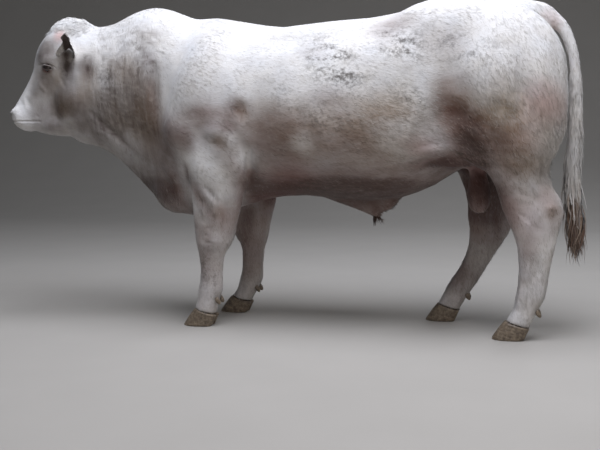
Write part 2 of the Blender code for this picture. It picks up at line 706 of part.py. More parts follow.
def leg_strokes():
    """Tendons, joints and hollows of each leg: start, end, reach, height."""
    strokes = []
    for side, back in ((-1, 0.0), (1, FAR_FORE_BACK)):
        strokes += [
            ((-0.345 + back, side * 0.250, 0.420), (-0.345 + back, side * 0.250, 0.370), 0.050, 0.006),
            ((-0.415 + back, side * 0.190, 0.420), (-0.410 + back, side * 0.190, 0.370), 0.050, 0.006),
            ((-0.335 + back, side * 0.230, 0.310), (-0.332 + back, side * 0.228, 0.210), 0.022, -0.006),
            ((-0.335 + back, side * 0.145, 0.310), (-0.332 + back, side * 0.145, 0.210), 0.022, -0.006),
        ]
    for side, hock, cannon in ((-1, 1.060, 1.075), (1, 0.885, 0.815)):
        strokes += [
            ((hock + 0.045, side * 0.250, 0.720), (hock + 0.062, side * 0.240, 0.590), 0.050, -0.020),
            ((hock + 0.045, side * 0.120, 0.720), (hock + 0.062, side * 0.130, 0.590), 0.050, -0.016),
            ((hock - 0.020, side * 0.245, 0.540), (hock - 0.005, side * 0.240, 0.480), 0.050, 0.006),
            ((cannon + 0.018, side * 0.225, 0.360), (cannon - 0.006, side * 0.225, 0.240), 0.022, -0.006),
            ((cannon + 0.018, side * 0.148, 0.360), (cannon - 0.006, side * 0.148, 0.240), 0.022, -0.006),
        ]
    return strokes


def stroke_weight(places, start, end, reach):
    """1 in the middle of the stroke, softly down to 0 at its reach and a little past its ends."""
    start = np.array(start)
    span = np.array(end) - start
    length = float(np.linalg.norm(span))
    from_middle = places - start - span / 2
    along = from_middle @ (span / length)
    across = np.sum(from_middle ** 2, axis=1) - along ** 2
    distance = (along / (length / 2 + STROKE_OVERRUN * reach)) ** 2 + across / reach ** 2
    return np.clip(1 - distance, 0, 1) ** 2


def mirrored(stroke):
    start, end, reach, height = stroke
    return (start[0], -start[1], start[2]), (end[0], -end[1], end[2]), reach, height


def press(thing):
    """Raises or sinks the skin along its normal under every stroke."""
    mesh = thing.data
    count = len(mesh.vertices)
    places = np.empty(count * 3)
    mesh.vertices.foreach_get("co", places)
    places = places.reshape(count, 3)
    normals = np.empty(count * 3)
    mesh.vertex_normals.foreach_get("vector", normals)
    normals = normals.reshape(count, 3)
    moved = np.zeros(count)
    outward = np.clip(normals[:, 1] * np.sign(places[:, 1]) * 1.6, 0, 1)
    for start, end, reach, height in side_strokes() + neck_folds():
        moved += outward * height * stroke_weight(places[:, [0, 2]], start, end, reach)
    strokes = space_strokes() + [mirrored(stroke) for stroke in space_strokes()] + leg_strokes()
    for stroke in head_strokes() + [mirrored(stroke) for stroke in head_strokes()]:
        strokes.append((head_point(*stroke[0]), head_point(*stroke[1]), stroke[2], stroke[3]))
    for start, end, reach, height in strokes:
        moved += height * stroke_weight(places, start, end, reach)
    places = places + normals * moved[:, None]
    mesh.vertices.foreach_set("co", places.ravel())
    mesh.update()


def make_flesh():
    """The whole body as one smooth form."""
    flesh = fuse("flesh", flesh_pieces(), VOXEL)
    soft = flesh.vertex_groups.new(name="soft")
    for vertex in flesh.data.vertices:
        soft.add([vertex.index], softness(vertex.co), 'REPLACE')
    smooth = flesh.modifiers.new("smooth", 'SMOOTH')
    smooth.factor = 0.5
    smooth.iterations = SMOOTH_ROUNDS
    smooth.vertex_group = "soft"
    apply_modifiers(flesh)
    keep_largest(flesh)
    press(flesh)
    return flesh


def thin_out(flesh):
    """Fewer faces: evenly at first, then only behind the head."""
    first = flesh.modifiers.new("thin", 'DECIMATE')
    first.ratio = FIRST_SHARE_TRIS / triangle_count(flesh.data)
    apply_modifiers(flesh)
    flesh.vertex_groups.clear()
    body = flesh.vertex_groups.new(name="body")
    for vertex in flesh.data.vertices:
        body.add([vertex.index], 1.0 - head_share(vertex.co), 'REPLACE')
    second = flesh.modifiers.new("thin_body", 'DECIMATE')
    second.vertex_group = "body"
    second.ratio = FINAL_FLESH_TRIS / triangle_count(flesh.data)
    apply_modifiers(flesh)
    flesh.vertex_groups.clear()


# Cuts


def plate(center, normal, across, half_long, half_across, thickness=GAP, long=None):
    """A thin closed box that parts the flesh: its face looks along the normal."""
    normal = Vector(normal).normalized()
    across = Vector(across)
    across = (across - normal * across.dot(normal)).normalized()
    if long is None:
        long = across.cross(normal)
    corners = []
    for high in (-thickness / 2, thickness / 2):
        for side, ahead in ((-half_across, -half_long), (half_across, -half_long),
                            (half_across, half_long), (-half_across, half_long)):
            corners.append(Vector(center) + normal * high + across * side + long * ahead)
    work = bmesh.new()
    verts = [work.verts.new(corner) for corner in corners]
    work.faces.new(verts[3::-1])
    work.faces.new(verts[4:])
    for number in range(4):
        after = (number + 1) % 4
        work.faces.new((verts[number], verts[after], verts[after + 4], verts[number + 4]))
    bmesh.ops.recalc_face_normals(work, faces=work.faces)
    cutter = new_object("plate", work)
    cutter.hide_render = True
    cutter.display_type = 'WIRE'
    return cutter


def line_plate(low, high, half_across, middle_y=0.0, reach=0.06):
    """A plate standing on edge through two (X, Z) points of the side view."""
    start = Vector((low[0], middle_y, low[1]))
    end = Vector((high[0], middle_y, high[1]))
    normal = (end - start).cross(Vector((0, 1, 0)))
    return plate((start + end) / 2, normal, (0, 1, 0), (end - start).length / 2 + reach, half_across)


def trunk_plates():
    head_normal = head_direction(0.995, 0, -0.103)
    head_cut = plate(head_point(-0.062, 0, 1.12), head_normal, head_direction(0, 1, 0), 0.36, 0.25)
    return [
        head_cut,
        line_plate(NECK_CUT[0], NECK_CUT[1], 0.36),
        line_plate((CHEST_CUT, 0.45), (CHEST_CUT, 1.45), 0.42),
        line_plate((HIND_CUT, 0.50), (HIND_CUT, 1.55), 0.42),
        plate((0.360, 0, SHEATH_CUT), (0, 0, 1), (0, 1, 0), 0.150, 0.110),
        plate((1.152, 0, 1.353), (0.625, 0, -0.780), (0, 1, 0), 0.052, 0.055),
        plate((1.230, 0, TAIL_CUT), (0, 0, 1), (0, 1, 0), 0.050, 0.050),
    ]


def leg_plates():
    """Slanted cuts at the armpits, level ones under knee and hock and over the pastern."""
    plates = []
    for side, back in ((-1, 0.0), (1, FAR_FORE_BACK)):
        outward = Vector((0, side * 0.732, 0.681))
        middle = Vector((-0.330 + back, side * 0.235, 0.670))
        plates.append(plate(middle, outward.cross(Vector((1, 0, 0))), outward, 0.200, 0.215))
        x = -0.345 + back
        plates.append(plate((x, side * 0.190, KNEE_CUT), (0, 0, 1), (0, 1, 0), 0.120, 0.110))
        plates.append(plate((x, side * 0.190, FORE_PASTERN_CUT), (0, 0, 1), (0, 1, 0), 0.100, 0.100))
    for side, hock_x, pastern_x in ((-1, 1.083, 1.058), (1, 0.862, 0.755)):
        plates.append(plate((hock_x, side * 0.186, HOCK_CUT), (0, 0, 1), (0, 1, 0), 0.150, 0.100))
        plates.append(plate((pastern_x, side * 0.186, HIND_PASTERN_CUT), (0, 0, 1), (0, 1, 0), 0.120, 0.100))
    return plates


def groin_plate(side):
    """A cut that rises outwards and backwards from the groin to over the haunch's widest part."""
    rise = Vector((0.846, 0, 0.534))
    outward = Vector((0, side, 0.65)).normalized()
    middle = Vector((0.62, 0, 0.60)) + rise * 0.340 + outward * 0.216
    return plate(middle, rise.cross(outward), outward, 0.450, 0.226, long=rise)


# each foot: name, place along X, sideways
FEET = (
    ("near_fore", -0.399, -FORE_TRACK),
    ("far_fore", -0.399 + FAR_FORE_BACK, FORE_TRACK),
    ("near_hind", 1.003, -HIND_TRACK),
    ("far_hind", 0.680, HIND_TRACK),
)


def coronet_height(foot_x, x):
    return CORONET_HEIGHT + CORONET_SLOPE * (foot_x - x)


def hoof_space(foot_x, foot_y):
    """A block that takes the flesh away below the coronet's slanted plane."""
    normal = Vector((CORONET_SLOPE, 0, 1)).normalized()
    top = Vector((foot_x, foot_y, coronet_height(foot_x, foot_x)))
    return plate(top - normal * 0.060, normal, (0, 1, 0), 0.130, 0.100, thickness=0.120)


def switch_space():
    return plate((1.225, 0, SWITCH_TOP - 0.040), (0, 0, 1), (0, 1, 0), 0.060, 0.060, thickness=0.080)


def named_places():
    """A point inside each piece of flesh, to name it by."""
    places = {
        "head": head_point(0.10, 0, 1.15),
        "neck": Vector((-0.80, -0.02, 1.10)),
        "forequarters": Vector((-0.35, 0, 1.10)),
        "barrel": Vector((0.20, 0, 1.00)),
        "hindquarters": Vector((0.85, 0.12, 1.25)),
        "sheath": Vector((0.345, 0, 0.535)),
        "scrotum": Vector((0.82, 0, 0.60)),
        "tail_root": Vector((1.195, -0.001, 1.275)),
        "tail_middle": Vector((1.231, -0.004, 0.95)),
    }
    for label, side, back in (("left", -1, 0.0), ("right", 1, FAR_FORE_BACK)):
        places["foreleg_" + label] = Vector((-0.345 + back, side * 0.190, 0.42))
        places["fore_cannon_" + label] = Vector((-0.352 + back, side * 0.186, 0.27))
        places["fore_pastern_" + label] = Vector((-0.370 + back, side * 0.185, 0.13))
    for label, side, hock, cannon, pastern in (("left", -1, 1.052, 1.075, 1.036), ("right", 1, 0.872, 0.805, 0.714)):
        places["thigh_" + label] = Vector((hock, side * 0.186, 0.56))
        places["hind_cannon_" + label] = Vector((cannon, side * 0.186, 0.32))
        places["hind_pastern_" + label] = Vector((pastern, side * 0.185, 0.13))
    return places


def is_inside(tree, point):
    direction = Vector((0.013, 0.021, 1)).normalized()
    crossings = 0
    start = point
    while True:
        hit = tree.ray_cast(start, direction)[0]
        if hit is None:
            return crossings % 2 == 1
        crossings += 1
        start = hit + direction * 1e-5


def loose_parts(thing):
    """The object's separate closed surfaces, each as its own object."""
    work = bmesh.new()
    work.from_mesh(thing.data)
    work.verts.index_update()
    group_of = {}
    groups = []
    for first in work.verts:
        if first.index in group_of:
            continue
        stack = [first]
        group_of[first.index] = len(groups)
        members = []
        while stack:
            vertex = stack.pop()
            members.append(vertex.index)
            for edge in vertex.link_edges:
                other = edge.other_vert(vertex)
                if other.index not in group_of:
                    group_of[other.index] = len(groups)
                    stack.append(other)
        groups.append(members)
    parts = []
    for number in range(len(groups)):
        copy = work.copy()
        copy.verts.index_update()
        spare = [vertex for vertex in copy.verts if group_of[vertex.index] != number]
        bmesh.ops.delete(copy, geom=spare, context='VERTS')
        parts.append(new_object("part_%d" % number, copy))
    work.free()
    remove_objects([thing])
    return parts


def name_parts(parts, places):
    """Finds which named place each part holds; a part with no place goes."""
    named = {}
    for part in parts:
        tree = BVHTree.FromObject(part, bpy.context.evaluated_depsgraph_get())
        held = [name for name, place in places.items() if is_inside(tree, place)]
        if held:
            named[held[0]] = part
        else:
            remove_objects([part])
    return named


def part_flesh(flesh):
    """Cuts the flesh and names each piece; flesh inside a hoof or the switch has no name and goes."""
    cutters = trunk_plates() + leg_plates() + [switch_space()]
    cutters += [hoof_space(foot_x, foot_y) for name, foot_x, foot_y in FEET]
    boolean(flesh, cutters, 'DIFFERENCE')
    places = named_places()
    pieces = name_parts(loose_parts(flesh), places)
    hind = pieces.pop("hindquarters")
    for side in (-1, 1):
        boolean(hind, [groin_plate(side)], 'DIFFERENCE')
    pieces.update(name_parts(loose_parts(hind), places))
    legs = pieces.pop("scrotum")
    for side in (-1, 1):
        inner_thigh = plate((0.800, side * GROIN_HALF_WIDTH, 0.740), (0, 1, 0), (1, 0, 0), 0.160, 0.230)
        boolean(legs, [inner_thigh], 'DIFFERENCE')
    pieces.update(name_parts(loose_parts(legs), places))
    return pieces


# Details of the head


def eyelids(side):
    """One rim round the eye: both lids, meeting at the corners."""
    center = EYE_PLACE
    outlines = []
    count = 18
    for number in range(count):
        angle = 2 * math.pi * number / count
        ahead = EYELID_HALF_LENGTH * math.cos(angle)
        height = EYELID_HALF_HEIGHT * math.sin(angle) * (1.0 if math.sin(angle) > 0 else 0.8)
        depth = EYE_RADIUS * 0.66 - 0.0080 * math.cos(angle) ** 2
        place = head_point(center[0] + ahead, side * (center[1] + depth), center[2] + height + 0.14 * ahead)
        radial = head_direction(math.cos(angle), 0, math.sin(angle))
        across = head_direction(0, side, 0)
        outlines.append(oval(place, radial, across, 0.0050, 0.0042, 0.0140, 2, 2, points=6))
    outlines.append(outlines[0])
    work = bmesh.new()
    rings = [[work.verts.new(point) for point in outline] for outline in outlines[:-1]]
    for number, ring in enumerate(rings):
        following = rings[(number + 1) % count]
        for corner in range(6):
            after = (corner + 1) % 6
            work.faces.new((ring[corner], ring[after], following[after], following[corner]))
    bmesh.ops.recalc_face_normals(work, faces=work.faces)
    return new_object("eyelids", work)


def eyeball(name, side, radius):
    work = bmesh.new()
    place = Matrix.Translation(head_point(EYE_PLACE[0], side * EYE_PLACE[1], EYE_PLACE[2]))
    bmesh.ops.create_uvsphere(work, u_segments=12, v_segments=8, radius=radius, matrix=place)
    return new_object(name, work)


def nostril_cutter(side):
    rows = [
        (0.352, 0.020, 0.978, 0.0050, 0.0040),
        (0.336, 0.034, 0.982, 0.0085, 0.0075),
        (0.318, 0.046, 0.986, 0.0085, 0.0075),
        (0.302, 0.054, 0.978, 0.0055, 0.0050),
    ]
    placed = []
    for ahead, left, height, wide, deep in rows:
        placed.append((*head_point(ahead, side * left, height), wide, deep))
    return tube("nostril", placed, steps=2, points=10)


def mouth_cutter():
    """The slit between the lips: a thin bent slab from the muzzle's front to the mouth's corners."""
    course = [(0.400, 0.940), (0.330, 0.9385), (0.290, 0.9360), (0.240, 0.9345), (0.196, 0.9370)]
    outlines = []
    for ahead, height in course:
        thick = MOUTH_SLIT if ahead > 0.20 else MOUTH_SLIT * 0.3
        outline = []
        for left, rise in ((-0.11, -thick), (0.11, -thick), (0.11, thick), (-0.11, thick)):
            outline.append(head_point(ahead, left, height + rise / 2))
        outlines.append(outline)
    return loft("mouth", outlines)


def ear(name, side):
    """A leaf-shaped cup: one sheet rolled round its own axis, closed at the root."""
    root = Vector(EAR_ROOT)
    tip = Vector(EAR_TIP)
    along = (tip - root).normalized()
    mouth = Vector(EAR_MOUTH) - along * Vector(EAR_MOUTH).dot(along)
    mouth.normalize()
    across = along.cross(mouth)
    rows = 9
    columns = 10
    layers = []
    for layer_shift in (0.0, EAR_THICKNESS):
        grid = []
        for row in range(rows + 1):
            share = row / rows
            width = EAR_WIDTH * (0.46 + 0.54 * math.sin(math.pi * min(share * 1.05, 1) ** 0.80)) * (1 - share ** 5)
            roll = math.radians(EAR_ROLL_ROOT + (EAR_ROLL_TIP - EAR_ROLL_ROOT) * share ** 0.7)
            radius = max(width / roll, 0.004)
            thin = layer_shift * (1 - 0.45 * share)
            line = []
            for column in range(columns + 1):
                angle = roll * (column / columns - 0.5)
                reach = radius - thin
                spot = root + along * (EAR_LENGTH * share) - mouth * (math.cos(angle) * reach - radius * 0.55)
                spot += across * (math.sin(angle) * reach)
                front_share = max(1 - 2.4 * column / columns, 0)
                lobe = max(1 - ((share - 0.30) / 0.24) ** 2, 0)
                spot += Vector(EAR_FLARE_WAY) * (EAR_FLARE * lobe * front_share ** 1.5)
                spot -= mouth * (EAR_BEND * share ** 2)
                line.append(head_point(spot.x, side * spot.y, spot.z))
            grid.append(line)
        layers.append(grid)
    work = bmesh.new()
    skins = [[[work.verts.new(point) for point in line] for line in grid] for grid in layers]
    for skin in skins:
        for row in range(rows):
            for column in range(columns):
                work.faces.new((skin[row][column], skin[row][column + 1],
                                skin[row + 1][column + 1], skin[row + 1][column]))
    outer, inner = skins
    rim = [(0, column) for column in range(columns)] + [(row, columns) for row in range(rows)]
    rim += [(rows, column) for column in range(columns, 0, -1)] + [(row, 0) for row in range(rows, 0, -1)]
    for number, (row, column) in enumerate(rim):
        next_row, next_column = rim[(number + 1) % len(rim)]
        work.faces.new((outer[row][column], outer[next_row][next_column],
                        inner[next_row][next_column], inner[row][column]))
    bmesh.ops.recalc_face_normals(work, faces=work.faces)
    bmesh.ops.triangulate(work, faces=work.faces)
    return new_object(name, work)


def finish_head(pieces):
    """Lids, nostrils and mouth on the head, and its eyes and ears."""
    head = pieces["head"]
    boolean(head, [eyelids(-1), eyelids(1)], 'UNION')
    keep_largest(head)
    cutters = [nostril_cutter(-1), nostril_cutter(1), mouth_cutter()]
    cutters += [eyeball("socket", side, EYE_RADIUS + GAP) for side in (-1, 1)]
    boolean(head, cutters, 'DIFFERENCE')
    keep_largest(head)
    for label, side in (("left", 1), ("right", -1)):
        pieces["eye_" + label] = eyeball("eye_" + label, side, EYE_RADIUS)
        pieces["ear_" + label] = ear("ear_" + label, side)
        fit_against(pieces["ear_" + label], head)


# Feet, tail switch and sheath tuft


def claw(name, foot_x, foot_y, outer_side):
    """One horn claw: a flat D-shaped sole, walls leaning back to the coronet's plane."""
    rings = []
    for level in CLAW_LEVELS:
        middle = CLAW_REACH * (1 - level)
        half_length = CLAW_TOP_HALF_LENGTH + (CLAW_SOLE_HALF_LENGTH - CLAW_TOP_HALF_LENGTH) * (1 - level)
        half_width = CLAW_HALF_WIDTH * (1 - 0.13 * level)
        if level == 0:
            half_length -= 0.002
            half_width -= 0.002
        ring = []
        for number in range(16):
            angle = 2 * math.pi * number / 16
            ahead = middle + half_length * math.cos(angle)
            outward = half_width * signed_power(math.sin(angle), 0.8)
            if outward < 0:
                outward *= 0.5
            toe = max(math.cos(angle), 0.0)
            outward = (outward + half_width * 0.25) * (1 - 0.35 * toe ** 3) - half_width * 0.25 - 0.004 * toe ** 3
            x = foot_x - ahead
            y = foot_y + outer_side * (CLAW_MIDDLE + outward)
            ring.append(Vector((x, y, level * (coronet_height(foot_x, x) - GAP))))
        rings.append(ring)
    return loft(name, rings)


def rear_skin(pastern, y, height):
    """Where a level line from behind meets the pastern."""
    tree = BVHTree.FromObject(pastern, bpy.context.evaluated_depsgraph_get())
    return tree.ray_cast(Vector((2.0, y, height)), Vector((-1, 0, 0)))[0]


def make_feet(pieces):
    for foot_name, foot_x, foot_y in FEET:
        fore = foot_name.endswith("fore")
        label = "left" if foot_y < 0 else "right"
        pastern = pieces[("fore_pastern_" if fore else "hind_pastern_") + label]
        kind = "fore" if fore else "hind"
        for place, outer_side in (("outer", 1), ("inner", -1)):
            side = outer_side if foot_y > 0 else -outer_side
            name = "claw_%s_%s_%s" % (kind, label, place)
            pieces[name] = claw(name, foot_x, foot_y, side)
            name = "dewclaw_%s_%s_%s" % (kind, label, place)
            spot = rear_skin(pastern, foot_y + side * DEWCLAW_SIDE, DEWCLAW_HEIGHT) + Vector((0.002, 0, -0.004))
            pieces[name] = muscle(name, spot, (0.012, 0.013, 0.025), pitch=-34, segments=10)
            fit_against(pieces[name], pastern)


def lock(root, tip, width, thickness, sag, twist, rings=4):
    """A flat, tapered lock of hair that bends from its root to its tip."""
    root = Vector(root)
    tip = Vector(tip)
    outlines = []
    places = []
    for number in range(rings + 1):
        share = number / rings
        places.append(root.lerp(tip, share) + Vector(sag) * (4 * share * (1 - share)))
    for number, place in enumerate(places):
        share = number / rings
        along = (places[min(number + 1, rings)] - places[max(number - 1, 0)]).normalized()
        side = Matrix.Rotation(twist, 3, 'Z') @ Vector((1, 0, 0))
        side = (side - along * side.dot(along)).normalized()
        up = side.cross(along)
        size = 1 - 0.86 * share ** 1.6
        outlines.append(oval(place, side, up, width * size, thickness * size, thickness * size, 2, 2, points=5))
    return loft("lock", outlines)


def tail_switch():
    """The long hair at the tail's end: a short core and overlapping locks down to the wisps."""
    draw = random.Random(SEED + 1)
    top = SWITCH_TOP - GAP
    core = tube("tail_switch", [(1.222, -0.007, top, 0.0270, 0.0330), (1.224, -0.007, 0.700, 0.0290, 0.0380),
                                (1.230, -0.007, 0.620, 0.0260, 0.0360), (1.241, -0.007, 0.540, 0.0190, 0.0260),
                                (1.247, -0.007, 0.470, 0.0090, 0.0120)], steps=2, points=12)
    for vertex in core.data.vertices:
        vertex.co.z = min(vertex.co.z, top)
    locks = []
    for number in range(SWITCH_LOCKS):
        around = 2 * math.pi * number * 0.382 + draw.uniform(-0.2, 0.2)
        share = number / (SWITCH_LOCKS - 1)
        start = 0.735 - 0.225 * share
        middle = 1.223 + 0.020 * share
        out = Vector((math.cos(around), math.sin(around) * 0.8, 0))
        root = Vector((middle, -0.007, start)) + out * 0.014
        length = draw.uniform(0.17, 0.23)
        low = max(start - length, SWITCH_TIP + draw.uniform(0.0, 0.07) * (1 - share))
        tip = Vector((1.246 - 0.010 * share, -0.007, low)) + out * (0.046 - 0.026 * share)
        swing = out * draw.uniform(0.012, 0.022) + Vector((draw.uniform(-0.006, 0.006), 0, 0))
        locks.append(lock(root, tip, 0.0125, 0.0055, swing, around + math.pi / 2))
    boolean(core, locks, 'UNION')
    keep_largest(core)
    return core


def sheath_tuft(sheath_piece):
    """Short locks that hang from the sheath's tip."""
    draw = random.Random(SEED + 2)
    locks = []
    for number in range(TUFT_LOCKS):
        around = 2 * math.pi * number / TUFT_LOCKS
        root = Vector((0.358 + 0.008 * math.cos(around), 0.009 * math.sin(around), 0.516))
        tip = root + Vector((0.016 + 0.016 * math.cos(around), 0.013 * math.sin(around), -draw.uniform(0.052, 0.066)))
        locks.append(lock(root, tip, 0.0060, 0.0035, (0.004, 0, 0), around, rings=3))
    boolean(sheath_piece, locks, 'UNION')
    keep_largest(sheath_piece)


# Materials


def material(name, colour, roughness):
    made = bpy.data.materials.new(name)
    made.use_nodes = True
    shader = made.node_tree.nodes["Principled BSDF"]
    shader.inputs["Base Color"].default_value = (*colour, 1.0)
    shader.inputs["Roughness"].default_value = roughness
    shader.inputs["Metallic"].default_value = 0.0
    return made


def dress(pieces):
    hide = material("cream_hide", (0.78, 0.73, 0.64), 0.85)
    skin = material("pink_skin", (0.62, 0.36, 0.32), 0.6)
    horn = material("hoof_horn", (0.30, 0.23, 0.17), 0.45)
    hair = material("tail_hair", (0.55, 0.46, 0.35), 0.7)
    eye = material("dark_eye", (0.03, 0.02, 0.02), 0.08)
    for name, piece in pieces.items():
        chosen = hide
        if "claw" in name:
            chosen = horn
        elif name.startswith("eye"):
            chosen = eye
        elif name == "scrotum":
            chosen = skin
        elif name == "tail_switch":
            chosen = hair
        piece.name = name
        piece.data.name = name
        piece.data.materials.clear()
        piece.data.materials.append(chosen)
        piece.data.shade_smooth()
        piece.data.set_sharp_from_angle(angle=math.radians(50))
        piece.data.transform(Matrix.Translation(BOX_SHIFT))


def main():
    clear_scene()
    flesh = make_flesh()
    thin_out(flesh)
    pieces = part_flesh(flesh)
    finish_head(pieces)
    make_feet(pieces)
    pieces["tail_switch"] = tail_switch()
    sheath_tuft(pieces["sheath"])
    dress(pieces)


main()
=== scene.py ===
import math
import random

import bmesh
import bpy
import numpy as np
from mathutils import Matrix, Vector


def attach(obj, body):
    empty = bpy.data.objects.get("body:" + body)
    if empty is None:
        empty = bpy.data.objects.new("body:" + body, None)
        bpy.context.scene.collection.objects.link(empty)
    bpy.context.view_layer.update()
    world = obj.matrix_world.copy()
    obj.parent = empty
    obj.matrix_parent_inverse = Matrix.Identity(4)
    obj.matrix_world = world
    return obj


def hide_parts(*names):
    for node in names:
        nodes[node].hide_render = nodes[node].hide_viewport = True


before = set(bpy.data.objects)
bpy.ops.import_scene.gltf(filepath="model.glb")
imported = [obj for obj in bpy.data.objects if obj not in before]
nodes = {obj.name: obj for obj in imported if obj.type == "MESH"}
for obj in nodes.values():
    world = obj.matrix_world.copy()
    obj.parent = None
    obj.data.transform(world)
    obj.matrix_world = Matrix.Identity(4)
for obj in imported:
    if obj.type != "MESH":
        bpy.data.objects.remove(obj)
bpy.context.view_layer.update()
print("scene: the frame is loaded")

# the head's own frame, as in the solids: ahead along the face, left, height
headTurn = math.radians(16.0)
headRoot = Vector((-1.0043, -0.06, 0.0))
eyePlace = (0.146, 0.104, 1.187)
eyeRadius = 0.0200


def headPoint(ahead, left, height):
    forward = Vector((-math.cos(headTurn), -math.sin(headTurn), 0))
    leftward = Vector((math.sin(headTurn), -math.cos(headTurn), 0))
    return headRoot + forward * ahead + leftward * left + Vector((0, 0, height))


def headWay(ahead, left, height):
    # a direction in the head's frame
    return np.array(headPoint(ahead, left, height) - headRoot)


def inHeadFrame(places):
    # columns: ahead, left, height
    moved = places - np.array(headRoot)
    ahead = -moved[:, 0] * math.cos(headTurn) - moved[:, 1] * math.sin(headTurn)
    left = moved[:, 0] * math.sin(headTurn) - moved[:, 1] * math.cos(headTurn)
    return np.stack([ahead, left, places[:, 2]], axis=1)


def inHalfHead(places):
    # the same, with the right half of the head mirrored onto the left
    inHead = inHeadFrame(places)
    inHead[:, 1] = np.abs(inHead[:, 1])
    return inHead


def strokeShare(places, stroke):
    # 1 in the middle of a stroke, softly down to 0 at its reach; its start, end and reach are in mm
    size = places.shape[1]
    stroke = np.array(stroke, float) / 1000
    start, span, reach = stroke[:size], stroke[size:2 * size] - stroke[:size], stroke[2 * size]
    length = max(float(np.linalg.norm(span)), 1e-6)
    fromMiddle = places - start - span / 2
    along = fromMiddle @ (span / length)
    across = np.sum(fromMiddle ** 2, axis=1) - along ** 2
    distance = (along / (length / 2 + 0.6 * reach)) ** 2 + across / reach ** 2
    return np.clip(1 - distance, 0, 1) ** 2


def step(values, low, high):
    share = np.clip((values - low) / (high - low), 0, 1)
    return share * share * (3 - 2 * share)


def headWeight(places):
    return step(inHeadFrame(places)[:, 0], -0.09, -0.02)


def unit(vectors):
    return vectors / np.linalg.norm(vectors, axis=1)[:, None]


def laidFlat(vectors, ups):
    # turned into the surface whose normals are given
    return unit(vectors - ups * np.sum(vectors * ups, axis=1)[:, None])


def readVectors(items, key):
    values = np.empty(len(items) * 3)
    items.foreach_get(key, values)
    return values.reshape(-1, 3)


def meshPlaces(mesh):
    return readVectors(mesh.vertices, "co")


def meshNormals(mesh):
    return readVectors(mesh.vertex_normals, "vector")


def setPlaces(mesh, places):
    mesh.vertices.foreach_set("co", places.ravel())
    mesh.update()


def placed(name, content):
    piece = bpy.data.objects.new(name, content)
    bpy.context.scene.collection.objects.link(piece)
    return piece


def newPiece(name, work):
    mesh = bpy.data.meshes.new(name)
    work.to_mesh(mesh)
    work.free()
    return placed(name, mesh)


def applyModifiers(piece):
    graph = bpy.context.evaluated_depsgraph_get()
    finished = bpy.data.meshes.new_from_object(piece.evaluated_get(graph))
    piece.modifiers.clear()
    piece.data = finished
    piece.vertex_groups.clear()


def addRemesh(piece, voxel):
    remesh = piece.modifiers.new("remesh", 'REMESH')
    remesh.mode = 'VOXEL'
    remesh.voxel_size = voxel


def addSmooth(piece, rounds, weights=None):
    smooth = piece.modifiers.new("smooth", 'SMOOTH')
    smooth.factor = 0.5
    smooth.iterations = rounds
    if weights is not None:
        smooth.vertex_group = weightGroup(piece, "smooth", weights)


def weightGroup(piece, name, weights, levels=40):
    group = piece.vertex_groups.new(name=name)
    rounded = np.round(weights * levels).astype(int)
    for level in range(1, levels + 1):
        chosen = np.nonzero(rounded == level)[0]
        if len(chosen):
            group.add(chosen.tolist(), level / levels, 'REPLACE')
    return group.name


